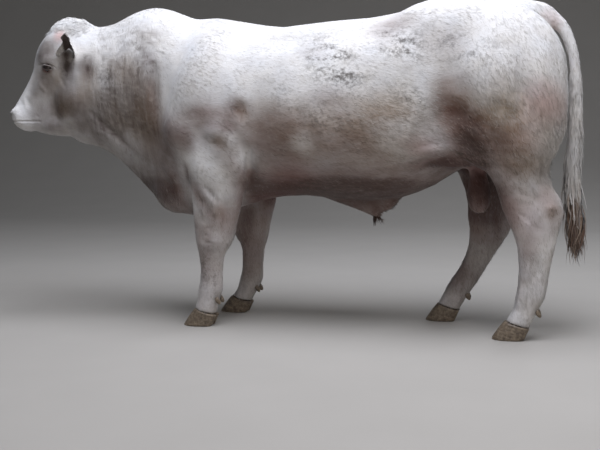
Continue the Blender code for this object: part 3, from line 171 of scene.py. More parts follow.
# the coat's marks: each row is the start, end and reach of one soft stroke in mm, and its strength in %,
# first in X and Z on the near side, the far side or both
sideMarks = {
    # stains: real on the haunch, hock and neck, and painted shade along the mid flank and in the shoulder's
    # hollows
    "stain near": [
        (900, 990, 1180, 990, 190, 80), (700, 1050, 920, 880, 150, 90), (920, 930, 1140, 840, 200, 70),
        (980, 800, 1100, 740, 110, 70), (160, 940, 660, 840, 220, 75), (-140, 940, 240, 860, 200, 60),
        (400, 1020, 600, 980, 120, 60), (0, 860, 200, 800, 140, 40), (-660, 1160, -600, 740, 130, 90),
        (-780, 1220, -700, 1100, 120, 60), (-840, 1060, -700, 860, 140, 60),
        (-170, 1010, -130, 950, 50, 90), (-280, 860, -220, 830, 50, 55), (-300, 560, -240, 500, 60, 50),
        (1190, 600, 1180, 530, 50, 60),
    ],
    "stain far": [
        (750, 1050, 1120, 950, 200, 70), (100, 850, 620, 840, 180, 60), (-660, 1100, -600, 800, 130, 60),
    ],
    # dirt: real specks, smudges, a scratch and the hock's callus
    "dirt near": [
        (140, 1300, 300, 1100, 130, 70), (200, 1240, 380, 1080, 150, 80), (400, 1300, 660, 1220, 110, 85),
        (660, 1280, 980, 1200, 120, 60), (500, 1100, 660, 980, 90, 60), (150, 905, 150, 805, 10, 100),
        (-860, 1200, -800, 1100, 70, 60), (1182, 570, 1184, 545, 22, 100), (140, 980, 300, 920, 100, 60),
        (-40, 1100, 120, 1000, 100, 35), (-340, 340, -320, 200, 90, 60),
    ],
    "dirt far": [
        (200, 1200, 600, 1080, 160, 70),
    ],
    # painted shade along the bottom of the belly and under the flank's fold
    "dirt both": [
        (-60, 630, 540, 620, 85, 100), (780, 860, 920, 720, 85, 100),
    ],
    # painted shade in hollows and creases, under the belly, the folds and the shoulder, and on the far legs,
    # with the coat's real grime in it
    "shade near": [
        (1070, 450, 1090, 340, 75, 55), (780, 840, 920, 700, 90, 100), (700, 780, 800, 765, 50, 100),
        (930, 920, 990, 800, 75, 70), (-420, 710, -310, 500, 55, 80), (-330, 660, -290, 500, 90, 35),
        (-500, 980, -420, 800, 90, 50), (-220, 950, -190, 900, 50, 60), (-420, 900, -390, 800, 60, 60),
        (-215, 980, -195, 890, 95, 50), (-520, 980, -500, 860, 60, 40), (700, 1140, 740, 1040, 70, 50),
        (100, 1250, 220, 1230, 80, 25), (990, 680, 1030, 460, 50, 50), (1200, 580, 1190, 480, 50, 35),
        (-430, 760, -400, 640, 35, 50), (-310, 540, -290, 480, 50, 45), (820, 740, 900, 680, 50, 80),
        (-680, 1250, -580, 1180, 70, 55), (1000, 500, 1080, 140, 120, 35), (-350, 460, -340, 180, 110, 48),
    ],
    "shade far": [
        (800, 780, 880, 640, 90, 70), (830, 620, 950, 400, 220, 95), (680, 400, 800, 140, 180, 80),
        (-260, 620, -260, 140, 180, 90),
    ],
    "shade both": [
        (-100, 840, 100, 740, 130, 30), (-160, 930, 140, 900, 160, 45), (160, 1060, 340, 1000, 100, 40),
        (-460, 950, -200, 970, 120, 85), (-200, 1030, -140, 970, 70, 75), (-530, 970, -500, 780, 75, 65),
        (-450, 900, -400, 840, 80, 50), (740, 1120, 840, 1070, 90, 45), (380, 1330, 620, 1370, 80, 55),
        (600, 1300, 840, 1220, 120, 32), (760, 920, 920, 760, 120, 100), (-940, 1040, -900, 840, 130, 70),
        (-740, 1380, -620, 1260, 110, 28), (-860, 1180, -640, 1140, 120, 60),
        (-720, 1120, -620, 960, 110, 50), (-100, 640, 560, 640, 75, 100), (100, 640, 550, 640, 130, 100),
        (720, 1040, 940, 820, 130, 100), (700, 1030, 820, 920, 100, 90), (560, 735, 780, 775, 45, 100),
        (800, 770, 910, 680, 40, 90), (980, 820, 1100, 740, 120, 25), (-800, 1100, -640, 1100, 90, 40),
        (400, 1300, 540, 1280, 70, 30), (-960, 950, -920, 860, 90, 40), (-740, 820, -600, 760, 60, 50),
        (-840, 1080, -800, 1040, 70, 35), (-720, 1130, -620, 1110, 70, 35), (700, 745, 880, 715, 50, 100),
        (680, 760, 900, 700, 70, 80), (0, 650, 520, 650, 50, 80), (400, 640, 600, 680, 50, 80),
        (-625, 1220, -600, 900, 85, 80), (-660, 980, -500, 660, 140, 50), (-900, 1030, -640, 980, 170, 45),
        (-122, 730, -140, 620, 30, 95), (-436, 760, -440, 620, 26, 75), (-930, 985, -735, 790, 30, 95),
        (-80, 950, 100, 900, 120, 20), (-270, 580, -220, 420, 70, 50), (-90, 710, -110, 620, 55, 60),
    ],
    "pink near": [
        (1080, 1060, 1210, 970, 130, 55), (1000, 920, 1120, 860, 120, 30),
    ],
    "pink both": [
        (-60, 680, 160, 700, 120, 40), (-160, 560, 100, 580, 90, 60), (720, 780, 900, 720, 70, 20),
        (1140, 680, 1180, 560, 60, 25), (550, 860, 700, 800, 80, 35),
    ],
}
# on both sides of the head, in the head's frame
headMarks = {
    "stain": [
        # real brown on the cheek and jaw, and painted shade behind the ear
        (100, 110, 1200, 130, 100, 1050, 100, 55), (20, 110, 1050, 130, 80, 970, 85, 90),
        (-60, 130, 1180, -20, 120, 1000, 90, 75),
    ],
    "dirt": [
        # partly real dirt, partly painted shade at the nostril, over the eye and under the ear
        (352, 0, 985, 345, 30, 965, 30, 90), (60, 110, 1020, 120, 90, 960, 60, 55),
        (150, 100, 1235, 200, 60, 1270, 50, 35), (52, 130, 1225, 55, 120, 1150, 60, 100),
        (-30, 145, 1255, -35, 145, 1215, 32, 90),
    ],
    # painted shade round the eye, under and behind the ear, and on the jaw, forehead and nostril
    "shade": [
        (45, 130, 1225, 55, 120, 1150, 68, 100), (50, 120, 1160, 30, 110, 1020, 75, 70),
        (-20, 130, 1220, 0, 130, 1170, 40, 60), (150, 110, 1225, 190, 90, 1240, 40, 80),
        (80, 100, 1040, 180, 90, 950, 100, 80), (-38, 145, 1245, -50, 145, 1120, 65, 100),
        (50, 80, 900, 200, 60, 895, 50, 60), (100, 60, 920, 200, 50, 925, 45, 65),
        (180, 80, 1000, 270, 60, 930, 60, 50), (130, 100, 1310, 170, 60, 1280, 60, 75),
        (140, 0, 1330, 200, 0, 1240, 70, 30), (130, 100, 1280, 170, 90, 1210, 85, 95),
        (150, 100, 1190, 180, 80, 1080, 80, 72), (120, 125, 1184, 176, 115, 1186, 34, 100),
        (125, 122, 1180, 172, 115, 1182, 45, 85), (356, 30, 990, 350, 30, 965, 28, 90),
        (65, 130, 1225, 45, 130, 1170, 50, 90), (85, 130, 1252, 35, 130, 1240, 32, 100),
        (70, 130, 1252, 40, 130, 1235, 45, 90), (115, 125, 1300, 155, 110, 1250, 85, 55),
        (40, 130, 1160, 30, 130, 1120, 40, 35), (120, 100, 1140, 40, 100, 950, 100, 35),
        (30, 110, 1020, 0, 100, 960, 80, 50), (190, 80, 1140, 240, 70, 1020, 50, 45),
        (-50, 90, 930, 50, 70, 910, 50, 45), (130, 110, 1120, 160, 90, 1060, 45, 40),
    ],
    "pink": [
        (335, 0, 985, 345, 0, 955, 55, 60), (300, 0, 915, 240, 0, 910, 40, 50),
        (175, 110, 1175, 130, 110, 1172, 18, 70), (100, 110, 1310, 75, 100, 1360, 45, 75),
    ],
}
# anywhere, in X, Y and Z
spaceMarks = {
    "pink": [
        (1100, 0, 1420, 1200, 0, 1340, 60, 90), (1135, -60, 1400, 1155, -130, 1330, 48, 90),
        (1170, -110, 1300, 1190, -130, 1180, 35, 60), (1160, 0, 1280, 1120, 0, 1100, 75, 80),
        (866, 0, 760, 866, 0, 530, 85, 80), (800, 0, 760, 1020, 0, 840, 120, 80),
        (840, 190, 660, 900, 190, 460, 100, 35), (1020, -200, 620, 1120, -200, 440, 130, 30),
        (0, 0, 620, -200, 0, 600, 150, 60),
    ],
    # painted shade under the belly, sheath and brisket, on the scrotum and in the cleft under the tail; on
    # the switch it is its real brown
    "shade": [
        (866, 0, 760, 866, 0, 530, 100, 80), (50, 0, 600, 550, 0, 600, 180, 90),
        (1150, -100, 1337, 1152, -110, 1325, 14, 90), (400, 0, 560, 420, 0, 500, 50, 80),
        (-500, 0, 520, -340, 0, 550, 120, 50), (1270, 0, 660, 1290, 0, 340, 75, 100),
    ],
    "stain": [
        (1270, 0, 760, 1290, 0, 320, 70, 100), (1180, 0, 600, 1200, 0, 500, 50, 30),
    ],
    "dirt": [
        (1280, 0, 520, 1300, 0, 320, 50, 100), (-340, 0, 100, -340, 0, 160, 400, 35),
        (900, 0, 100, 900, 0, 160, 500, 35),
    ],
}
# painted light: where the near side is lit paler than the coat round it, in X and Z; these strokes take away
# stain and shade
paintedLightMarks = [
    (100, 870, 160, 820, 80, 55), (440, 870, 680, 850, 130, 70), (-145, 810, -135, 750, 65, 85),
    (-200, 880, -170, 800, 60, 45), (1000, 1120, 1200, 1020, 130, 65), (1100, 960, 1200, 840, 130, 75),
    (-440, 1160, -400, 1020, 90, 50),
]
markKinds = ("stain", "dirt", "pink", "shade")
sideEdge = (0.02, 0.08)

# the height where the painted shade of the lower side begins, along X
shadeLine = [
    (-1, 1.14), (-0.85, 1.2), (-0.72, 1.22), (-0.62, 1.2), (-0.54, 1.04), (-0.4, 1), (-0.22, 1.05),
    (0, 1.06), (0.3, 1.08), (0.6, 1.06), (0.74, 1.1), (0.9, 1.04), (1.02, 0.96), (1.2, 0.94),
]
# how strong the painted shade of the lower side gets, and over which heights and lengths; it is less on the
# forearm and near hind leg where light falls, none on the tail, and it also darkens the lower face but not
# the muzzle
lowerShade = {
    "side": 0.62, "sideDepth": 0.24,
    "belly": 0.36, "bellyTop": 0.78, "bellyDepth": 0.14,
    "leg": 0.40, "legTop": 0.62, "legEnd": 0.34,
    "nearHindLess": 0.65, "nearHindFrom": (0.96, 1.08), "nearHindSide": (0.05, 0.12),
    "forearm": (-370, 800, -310, 540, 190), "forearmLess": 1.8,
    "tailFrom": (1.225, 1.25),
    "face": 0.50, "faceFrom": (-1.22, -1.00), "muzzle": 0.27, "muzzleDepth": 0.06,
}
# pale and dark streaks down the neck, painted light and shade of the folds that hang from the crest: pace,
# lean and start of each wave
neckStreak = {
    "waves": ((190, 22, 0.4), (283, -17, 2.1), (331, 41, 4.0), (452, -30, 5.3)),
    "base": 0.10, "contrast": 0.16, "inShade": 0.22, "darkest": 0.14,
}


def neckStreaks(places):
    # -1 dark to 1 pale, and where on the neck they are
    x, z = places[:, 0], places[:, 2]
    wave = sum(np.sin(x * pace + z * lean + start) / 2 for pace, lean, start in neckStreak["waves"])
    area = step(-x, 0.52, 0.62) * step(x, -0.93, -0.84) * step(1.42 - z, 0, 0.08) * step(z, 0.80, 1.0)
    return np.clip(wave, -1, 1) * area, area


def clearOf(places, rows, weight=1.0):
    # what the strokes leave uncovered
    clear = np.ones(len(places))
    for row in rows:
        clear *= 1 - strokeShare(places, row) * weight * row[-1] / 100
    return clear


# painted shade that darkens the body down from the shade line, as the share it leaves clear
def shadeBelow(places, offHead):
    x, y, z = places.T
    form = lowerShade
    top = np.interp(x, *zip(*shadeLine))
    fall = form["side"] * step(top - z, 0.0, form["sideDepth"])
    fall += form["belly"] * step(form["bellyTop"] - z, 0.0, form["bellyDepth"])
    onLeg = form["leg"] * step(form["legTop"] - z, 0.0, form["legTop"] - form["legEnd"])
    fall *= step(z, form["legEnd"], form["legTop"]) + onLeg
    fall *= 1 - form["nearHindLess"] * step(x, *form["nearHindFrom"]) * step(-y, *form["nearHindSide"])
    fall *= 1 - np.clip(form["forearmLess"] * strokeShare(places[:, [0, 2]], form["forearm"]), 0, 1)
    onFace = step(-z, *form["faceFrom"]) * (1 - offHead)
    onFace *= step(form["muzzle"] - inHeadFrame(places)[:, 0], 0, form["muzzleDepth"])
    return (1 - fall * (1 - step(x, *form["tailFrom"])) * offHead) * (1 - form["face"] * onFace)


def marksAt(places):
    # one row per place: stain, dirt, pink and shade, where stain and dirt are partly and shade mostly painted
    # shade
    y = places[:, 1]
    profile = places[:, [0, 2]]
    onSides = {"near": step(-y, *sideEdge), "far": step(y, *sideEdge), "both": step(np.abs(y), *sideEdge)}
    offHead = 1 - headWeight(places)
    result = np.zeros((len(places), len(markKinds)))
    for column, kind in enumerate(markKinds):
        clear = clearOf(inHalfHead(places), headMarks[kind]) * clearOf(places, spaceMarks[kind])
        for side, onSide in onSides.items():
            clear *= clearOf(profile, sideMarks.get(kind + " " + side, []), onSide)
        if kind == "shade":
            clear *= shadeBelow(places, offHead)
        result[:, column] = 1 - clear
    # painted light and shade of the neck's folds, as streaks
    streaked, onNeck = neckStreaks(places)
    shade = result[:, 3]
    contrast = neckStreak["contrast"] + neckStreak["inShade"] * shade
    shade = shade + neckStreak["base"] * np.abs(streaked) - contrast * streaked
    result[:, 3] = np.minimum(shade, 1 - neckStreak["darkest"] * onNeck)
    # painted light: lit patches on the near side lose their stain and shade
    paintedLight = clearOf(profile, paintedLightMarks, onSides["near"] * offHead)
    result[:, [0, 3]] *= paintedLight[:, None]
    return np.clip(result, 0, 1)


def markMesh(mesh, marks, tint=None):
    layer = mesh.attributes.new("coatMarks", 'FLOAT_COLOR', 'POINT')
    layer.data.foreach_set("color", marks.astype(np.float32).ravel())
    if tint is not None:
        layer = mesh.attributes.new("tint", 'FLOAT', 'POINT')
        layer.data.foreach_set("value", tint.astype(np.float32))


# materials


def linear(hexText):
    values = []
    for start in (0, 2, 4):
        share = int(hexText[start:start + 2], 16) / 255
        values.append(share / 12.92 if share <= 0.04045 else ((share + 0.055) / 1.055) ** 2.4)
    return (*values, 1.0)


def addNode(tree, kind, settings=None, links=None):
    # settings go to the node or, with a number or socket name in brackets, to its inputs
    node = tree.nodes.new(kind)
    for key, value in (settings or {}).items():
        if isinstance(key, tuple):
            node.inputs[key[0]].default_value = value
        else:
            setattr(node, key, value)
    for key, source in (links or {}).items():
        tree.links.new(source, node.inputs[key])
    return node


def feed(tree, node, socket, value):
    # another node's output is linked, and a number or colour is set
    if hasattr(value, "links"):
        tree.links.new(value, node.inputs[socket])
    else:
        node.inputs[socket].default_value = value


def mixColour(tree, factor, first, second, blend='MIX'):
    node = addNode(tree, "ShaderNodeMix", {"data_type": 'RGBA', "blend_type": blend})
    for socket, value in ((0, factor), (6, first), (7, second)):
        feed(tree, node, socket, value)
    return node.outputs[2]


def doMath(tree, kind, *values, clamp=False):
    node = addNode(tree, "ShaderNodeMath", {"operation": kind, "use_clamp": clamp})
    for socket, value in enumerate(values):
        feed(tree, node, socket, value)
    return node.outputs[0]


def noise(tree, place, scale, detail, roughness=0.5):
    settings = {("Scale",): scale, ("Detail",): detail, ("Roughness",): roughness}
    return addNode(tree, "ShaderNodeTexNoise", settings, {"Vector": place}).outputs[0]


def stretched(tree, place, scale):
    return addNode(tree, "ShaderNodeMapping", {("Scale",): scale}, {"Vector": place}).outputs[0]


def rising(tree, value, low, high):
    settings = {("From Min",): low, ("From Max",): high}
    return addNode(tree, "ShaderNodeMapRange", settings, {"Value": value}).outputs[0]


def objectPlace(tree):
    return addNode(tree, "ShaderNodeTexCoord").outputs["Object"]


def addBump(tree, shader, height, strength, distance):
    settings = {("Strength",): strength, ("Distance",): distance}
    bump = addNode(tree, "ShaderNodeBump", settings, {"Height": height})
    tree.links.new(bump.outputs[0], shader.inputs["Normal"])


def newMaterial(name, shaderValues):
    made = bpy.data.materials.new(name)
    made.use_nodes = True
    shader = made.node_tree.nodes["Principled BSDF"]
    for key, value in shaderValues.items():
        shader.inputs[key].default_value = value
    return made, made.node_tree, shader


# shade, neckShade and deep are colours of painted shade, and the dark red one is pink skin in painted shade;
# the stain and dirt colours also serve as painted shade in places
coatColours = {
    "cream": "eae5de",
    "cool": "dadbdf",
    "worn": "b3aaa1",
    "stain": "998267",
    "dirt": "474039",
    "pink": "b98379",
    "shade": "5c3a2e",
    "neckShade": "4f3e36",
    "deep": "351f19",
    "flesh": "6b3d38",
}
# how streaks are drawn out, and where they hang down instead of running along the body
coatStreak = {
    "along": (0.35, 1.0, 0.8), "hanging": (1.1, 1.0, 0.22),
    "neck": (-0.52, -0.66), "leg": (0.66, 0.50),
}


def coatColour(tree):
    # the markings that skin and coat share, stains, dirt, pink skin and painted shade, broken up by noise
    # about 3 to 60 mm wide
    tint = {name: linear(text) for name, text in coatColours.items()}
    place = objectPlace(tree)
    marks = addNode(tree, "ShaderNodeAttribute", {"attribute_name": "coatMarks"})
    stain, dirt, pink = addNode(tree, "ShaderNodeSeparateColor", links={0: marks.outputs["Color"]}).outputs
    shade = marks.outputs["Alpha"]
    along = stretched(tree, place, coatStreak["along"])
    downward = stretched(tree, place, coatStreak["hanging"])
    parts = addNode(tree, "ShaderNodeSeparateXYZ", links={0: place}).outputs
    onNeck = rising(tree, parts["X"], *coatStreak["neck"])
    hanging = doMath(tree, 'MAXIMUM', onNeck, rising(tree, parts["Z"], *coatStreak["leg"]), clamp=True)
    sideways, down = (noise(tree, mapped, 26.0, 5.0, 0.6) for mapped in (along, downward))
    streaks = addNode(tree, "ShaderNodeMix", links={0: hanging, 2: sideways, 3: down}).outputs[0]
    fine = noise(tree, place, 70.0, 5.0, 0.65)
    worn = doMath(tree, 'MULTIPLY_ADD', noise(tree, along, 15.0, 6.0, 0.68), 2.6, -1.12, clamp=True)
    breakUp = doMath(tree, 'MULTIPLY_ADD', streaks, 1.1, 0.30)
    steady = doMath(tree, 'MULTIPLY_ADD', streaks, 0.55, 0.62)
    speck = doMath(tree, 'MULTIPLY_ADD', doMath(tree, 'MULTIPLY', fine, streaks), 9.0, -2.00)
    stainHere, shadeHere, speckHere = (doMath(tree, 'MULTIPLY', mark, broken, clamp=True) for mark, broken
                                       in ((stain, breakUp), (shade, steady), (dirt, speck)))
    shadeTint = mixColour(tree, onNeck, tint["shade"], tint["neckShade"])
    # each layer covers the ones before it: where it is, its strength and its colour; the shade, pink in shade
    # and deep layers are painted shade
    layers = [
        (worn, 0.55, tint["worn"]), (stainHere, 1.0, tint["stain"]), (pink, 0.80, tint["pink"]),
        (shadeHere, 0.93, shadeTint), (shadeHere, pink, tint["flesh"]),
        (rising(tree, shade, 0.90, 1.0), 0.60, tint["deep"]), (speckHere, 0.80, tint["dirt"]),
    ]
    colour = mixColour(tree, noise(tree, place, 9.0, 4.0), tint["cream"], tint["cool"])
    for where, strength, covering in layers:
        colour = mixColour(tree, doMath(tree, 'MULTIPLY', where, strength), colour, covering)
    return colour, streaks, place


# short cattle hair over skin: soft, dry and matt, with a faint sheen at the edges of the form
hideMaterial, tree, shader = newMaterial("short cattle hair on skin", {
    "Roughness": 0.72, "Sheen Weight": 0.15, "Sheen Roughness": 0.5, "Specular IOR Level": 0.25})
colour, streaks, place = coatColour(tree)
tree.links.new(colour, shader.inputs["Base Color"])
hairNoise = noise(tree, stretched(tree, place, (0.12, 1.0, 0.45)), 330.0, 3.0, 0.6)
addBump(tree, shader, doMath(tree, 'ADD', hairNoise, doMath(tree, 'MULTIPLY', streaks, 0.5)), 0.45, 0.0025)

# tufts of the same hair: a little paler and darker from one to the next, and rougher
tuftMaterial, tree, shader = newMaterial("short cattle hair in tufts", {
    "Roughness": 0.68, "Sheen Weight": 0.2, "Specular IOR Level": 0.3})
colour = coatColour(tree)[0]
tint = addNode(tree, "ShaderNodeAttribute", {"attribute_name": "tint"}).outputs["Fac"]
lighter = mixColour(tree, tint, (0.68, 0.66, 0.63, 1), (1.05, 1.05, 1.04, 1))
tree.links.new(mixColour(tree, 1.0, colour, lighter, 'MULTIPLY'), shader.inputs["Base Color"])

# keratin horn: grey-brown, grown in rings 3 to 5 mm apart, scuffed and half matt
hornMaterial, tree, shader = newMaterial("hoof horn, worn", {"Roughness": 0.45})
place = objectPlace(tree)
ringWave = addNode(tree, "ShaderNodeTexWave", {"bands_direction": 'DIAGONAL', ("Scale",): 45.0,
                                               ("Distortion",): 2.5, ("Detail",): 3.0},
                   {"Vector": stretched(tree, place, (0.28, 0.1, 1.0))}).outputs[1]
scuff = noise(tree, place, 60.0, 6.0, 0.7)
ramp = addNode(tree, "ShaderNodeValToRGB", links={0: scuff})
for element, hexText, position in zip(ramp.color_ramp.elements, ("4b4036", "9b8b76"), (0.35, 0.70)):
    element.color = linear(hexText)
    element.position = position
ringShare = doMath(tree, 'MULTIPLY', ringWave, 0.35)
tree.links.new(mixColour(tree, ringShare, ramp.outputs[0], linear("6d5f50")), shader.inputs["Base Color"])
addBump(tree, shader, doMath(tree, 'ADD', ringWave, scuff), 0.5, 0.0015)

# a wet eye: almost black brown, under a clear layer
eyeMaterial, tree, shader = newMaterial("wet dark eye", {
    "Roughness": 0.12, "Coat Weight": 1.0, "Coat Roughness": 0.03})
cloud = noise(tree, objectPlace(tree), 220.0, 3.0)
tree.links.new(mixColour(tree, cloud, linear("120c0a"), linear("35231a")), shader.inputs["Base Color"])
print("scene: materials are made")

# the skin: every node of flesh in one closed form, smoothed and drawn over with folds
hideShape = {
    "weld": 0.00002,
    "voxel": 0.0052,
    "swell": 0.0006,
    "rounds": 150,
    "hipRounds": 400,
    "hip": (500, 1300, 860, 1270, 170), "hipGain": 1.6, "hipSide": (0.10, 0.18),
    "legShare": 0.14, "legTop": (0.42, 0.72),
    "headShare": 0.035,
    "tailFrom": (1.19, 1.23),
    "coatDepth": 0.0035, "bareLess": 0.75, "eyeReach": 0.035,
    "bodyTris": 150000, "headKept": 0.97,
}
notFlesh = ("eye", "claw", "dewclaw", "ear", "tail_switch")
fleshNames = sorted(name for name in nodes if not name.startswith(notFlesh))


def nodeSolid(name):
    single = bmesh.new()
    single.from_mesh(nodes[name].data)
    bmesh.ops.remove_doubles(single, verts=single.verts, dist=hideShape["weld"])
    return single


work = bmesh.new()
for name in fleshNames:
    single = nodeSolid(name)
    single.normal_update()
    shifts = [vertex.normal * hideShape["swell"] for vertex in single.verts]
    for vertex, shift in zip(single.verts, shifts):
        vertex.co += shift
    copied = bpy.data.meshes.new("copied")
    single.to_mesh(copied)
    single.free()
    work.from_mesh(copied)
    bpy.data.meshes.remove(copied)
hide = newPiece("hide", work)
addRemesh(hide, hideShape["voxel"])
applyModifiers(hide)


def smoothWeight(places):
    # legs, tail and head keep most of their form
    x, y, z = places.T
    weight = hideShape["legShare"] + (1 - hideShape["legShare"]) * step(z, *hideShape["legTop"])
    tail = step(x, *hideShape["tailFrom"]) + step(0.11 - np.abs(y), 0, 0.03) * step(-z, -0.80, -0.70)
    weight += (hideShape["legShare"] - weight) * np.clip(tail, 0, 1)
    return weight + (hideShape["headShare"] - weight) * headWeight(places)


addSmooth(hide, hideShape["rounds"], smoothWeight(meshPlaces(hide.data)))
applyModifiers(hide)
places = meshPlaces(hide.data)
hip = strokeShare(places[:, [0, 2]], hideShape["hip"]) * step(np.abs(places[:, 1]), *hideShape["hipSide"])
addSmooth(hide, hideShape["hipRounds"], np.clip(hip * hideShape["hipGain"], 0, 1))
applyModifiers(hide)
count = sum(len(face.vertices) - 2 for face in hide.data.polygons)
thinning = weightGroup(hide, "thin", 1 - hideShape["headKept"] * headWeight(meshPlaces(hide.data)))
thin = hide.modifiers.new("thin", 'DECIMATE')
thin.ratio = min(1.0, hideShape["bodyTris"] / count)
thin.vertex_group = thinning
applyModifiers(hide)
print("scene: the skin has", len(hide.data.polygons), "faces")

# finer mesh round the eyes, the nostrils and the mouth: place, reach and rounds, on both sides
faceRegions = [
    ((0.150, 0.104, 1.187), 0.052, 2), ((0.330, 0.036, 0.978), 0.046, 1), ((0.290, 0.050, 0.940), 0.060, 1),
]
work = bmesh.new()
work.from_mesh(hide.data)
for (ahead, left, height), reach, rounds in faceRegions:
    for side in (1, -1):
        place = headPoint(ahead, side * left, height)
        for number in range(rounds):
            near = [edge for edge in work.edges
                    if all((vertex.co - place).length < reach for vertex in edge.verts)]
            bmesh.ops.subdivide_edges(work, edges=near, cuts=1, smooth=0.0, use_grid_fill=True)
            bmesh.ops.triangulate(work, faces=[face for face in work.faces if len(face.verts) > 3])
work.to_mesh(hide.data)
work.free()

# folds and hollows of the skin: start and end in X and Z, reach and height, all in mm
skinFolds = {
    "near": [
        (-170, 1010, -130, 960, 45, -14), (-290, 850, -235, 832, 32, -12), (-370, 690, -250, 560, 18, -9),
        (-350, 640, -260, 540, 16, 8), (-380, 620, -290, 500, 16, -8), (-370, 560, -300, 480, 13, 6),
        (-290, 540, -280, 528, 20, 6), (-250, 640, -240, 520, 14, -6), (-118, 830, -140, 640, 26, -20),
        (-436, 760, -440, 620, 24, -12), (1180, 590, 1182, 550, 28, 9), (1120, 600, 1120, 520, 30, 6),
        (1090, 500, 1140, 480, 22, -4), (145, 905, 145, 795, 6, -3), (980, 740, 1070, 700, 14, -5),
        (1020, 640, 1110, 620, 12, -4), (1040, 560, 1110, 500, 14, -4.5), (1110, 640, 1130, 560, 16, -6),
    ],
    "both": [
        (-940, 995, -730, 785, 26, -14), (-950, 930, -765, 755, 35, 7), (-560, 800, -490, 640, 30, -7),
        (-600, 740, -540, 600, 22, -5), (-340, 880, -240, 890, 40, 6), (-190, 940, -120, 700, 30, -9),
        (-240, 800, -150, 660, 50, 8), (-130, 760, -90, 640, 20, -6), (-90, 690, 130, 650, 20, -4),
        (-330, 780, -370, 700, 30, 5), (-400, 500, -260, 480, 10, -4.5), (-400, 465, -260, 450, 10, -4.5),
        (-400, 430, -260, 420, 10, -4.5), (-390, 400, -280, 385, 10, -4), (580, 792, 780, 828, 34, 11),
        (780, 828, 900, 745, 30, 9), (-610, 1240, -585, 920, 45, -8), (700, 1040, 900, 900, 50, -10),
        (880, 890, 960, 760, 40, 8), (1020, 1200, 1090, 900, 30, -8), (1090, 1150, 1150, 900, 30, 5),
        (900, 1060, 1060, 1000, 40, 5), (960, 780, 1060, 640, 40, -6), (1080, 760, 1140, 640, 30, -12),
        (200, 1060, 280, 780, 22, -3), (310, 1060, 390, 800, 22, -3), (90, 1060, 170, 760, 22, -3),
        (580, 745, 770, 785, 26, -15), (790, 780, 880, 700, 24, -12),
    ],
}
# the same on both sides of the head, in its own frame
headFolds = [
    (135, 112, 1222, 180, 100, 1205, 11, -4.5), (115, 112, 1205, 118, 112, 1180, 12, -3),
    (130, 108, 1158, 175, 98, 1150, 9, -2.5), (175, 96, 1165, 205, 84, 1130, 14, -3),
    (200, 84, 1130, 150, 88, 1050, 14, 3.5), (265, 60, 1060, 235, 66, 990, 20, -3),
    (120, 66, 905, 85, 68, 870, 14, -11), (80, 72, 905, 45, 72, 862, 14, -11),
    (100, 70, 912, 62, 70, 866, 12, 8), (35, 72, 905, 0, 74, 862, 16, -10),
    (205, 60, 945, 185, 64, 915, 9, -3.5), (225, 58, 972, 198, 64, 955, 10, -2.5),
    (320, 12, 1010, 345, 10, 955, 10, -2), (240, 0, 1150, 190, 0, 1280, 30, -3),
    (175, 60, 1245, 225, 50, 1180, 22, 3), (100, 118, 1150, 60, 118, 1090, 16, -3.5),
]
# wrinkles where the tail arches over the rump
tailWrinkles = {"middle": (1.16, 0.0, 1.40), "reach": 0.10, "pace": 210, "height": 0.0012}


def neckFolds():
    # narrow folds that hang from the crest behind the poll, and softer ones over the neck's side
    draw = random.Random(5)
    rows = []
    for number in range(12):
        x = -900 + 30 * number + draw.uniform(-6, 6)
        top = 1375 - 100 * max(number - 8, 0) / 6
        length = draw.uniform(130, 240)
        rows.append((x, top, x + length / 4, top - length, draw.uniform(13, 18), -draw.uniform(1.5, 4.5)))
    for number in range(8):
        x = -910 + 45 * number + draw.uniform(-10, 10)
        top = draw.uniform(1100, 1180)
        rows.append((x, top, x + 70, top - 200, draw.uniform(14, 20), -draw.uniform(1, 2.5)))
    return rows


def raisedBy(places, rows):
    # how far the strokes raise the surface, or press it in
    return sum(strokeShare(places, row) * row[-1] / 1000 for row in rows)


def pressHide(piece):
    mesh = piece.data
    places = meshPlaces(mesh)
    normals = meshNormals(mesh)
    profile = places[:, [0, 2]]
    halfHead = inHalfHead(places)
    outward = np.clip(normals[:, 1] * np.sign(places[:, 1]) * 1.6, 0, 1)
    nearOnly = raisedBy(profile, skinFolds["near"]) * (places[:, 1] < 0)
    moved = (raisedBy(profile, skinFolds["both"] + neckFolds()) + nearOnly) * outward
    moved += raisedBy(halfHead, headFolds)
    fromArch = places - np.array(tailWrinkles["middle"])
    ripple = np.sin((fromArch[:, 0] - fromArch[:, 2]) * tailWrinkles["pace"]) * tailWrinkles["height"]
    moved += ripple * np.clip(1 - np.linalg.norm(fromArch, axis=1) / tailWrinkles["reach"], 0, 1)
    fromEye = np.linalg.norm(halfHead - np.array(eyePlace), axis=1) / hideShape["eyeReach"]
    coated = 1 - hideShape["bareLess"] * marksAt(places)[:, 2]
    inset = hideShape["coatDepth"] * coated * np.minimum(fromEye, 1)
    setPlaces(mesh, places + normals * (moved - inset)[:, None])


pressHide(hide)

lids = {
    "reach": 0.055, "halfLong": 0.0225, "halfHigh": 0.0085, "slant": 0.16,
    "thickness": 0.0040, "sunk": 0.006,
    "rimAbove": 0.0024, "rimBelow": 0.0006, "rimAt": 1.15, "rimWide": 0.16,
    "crease": -0.0026, "creaseAt": 1.85, "creaseWide": 0.22, "hugTo": 2.3,
}


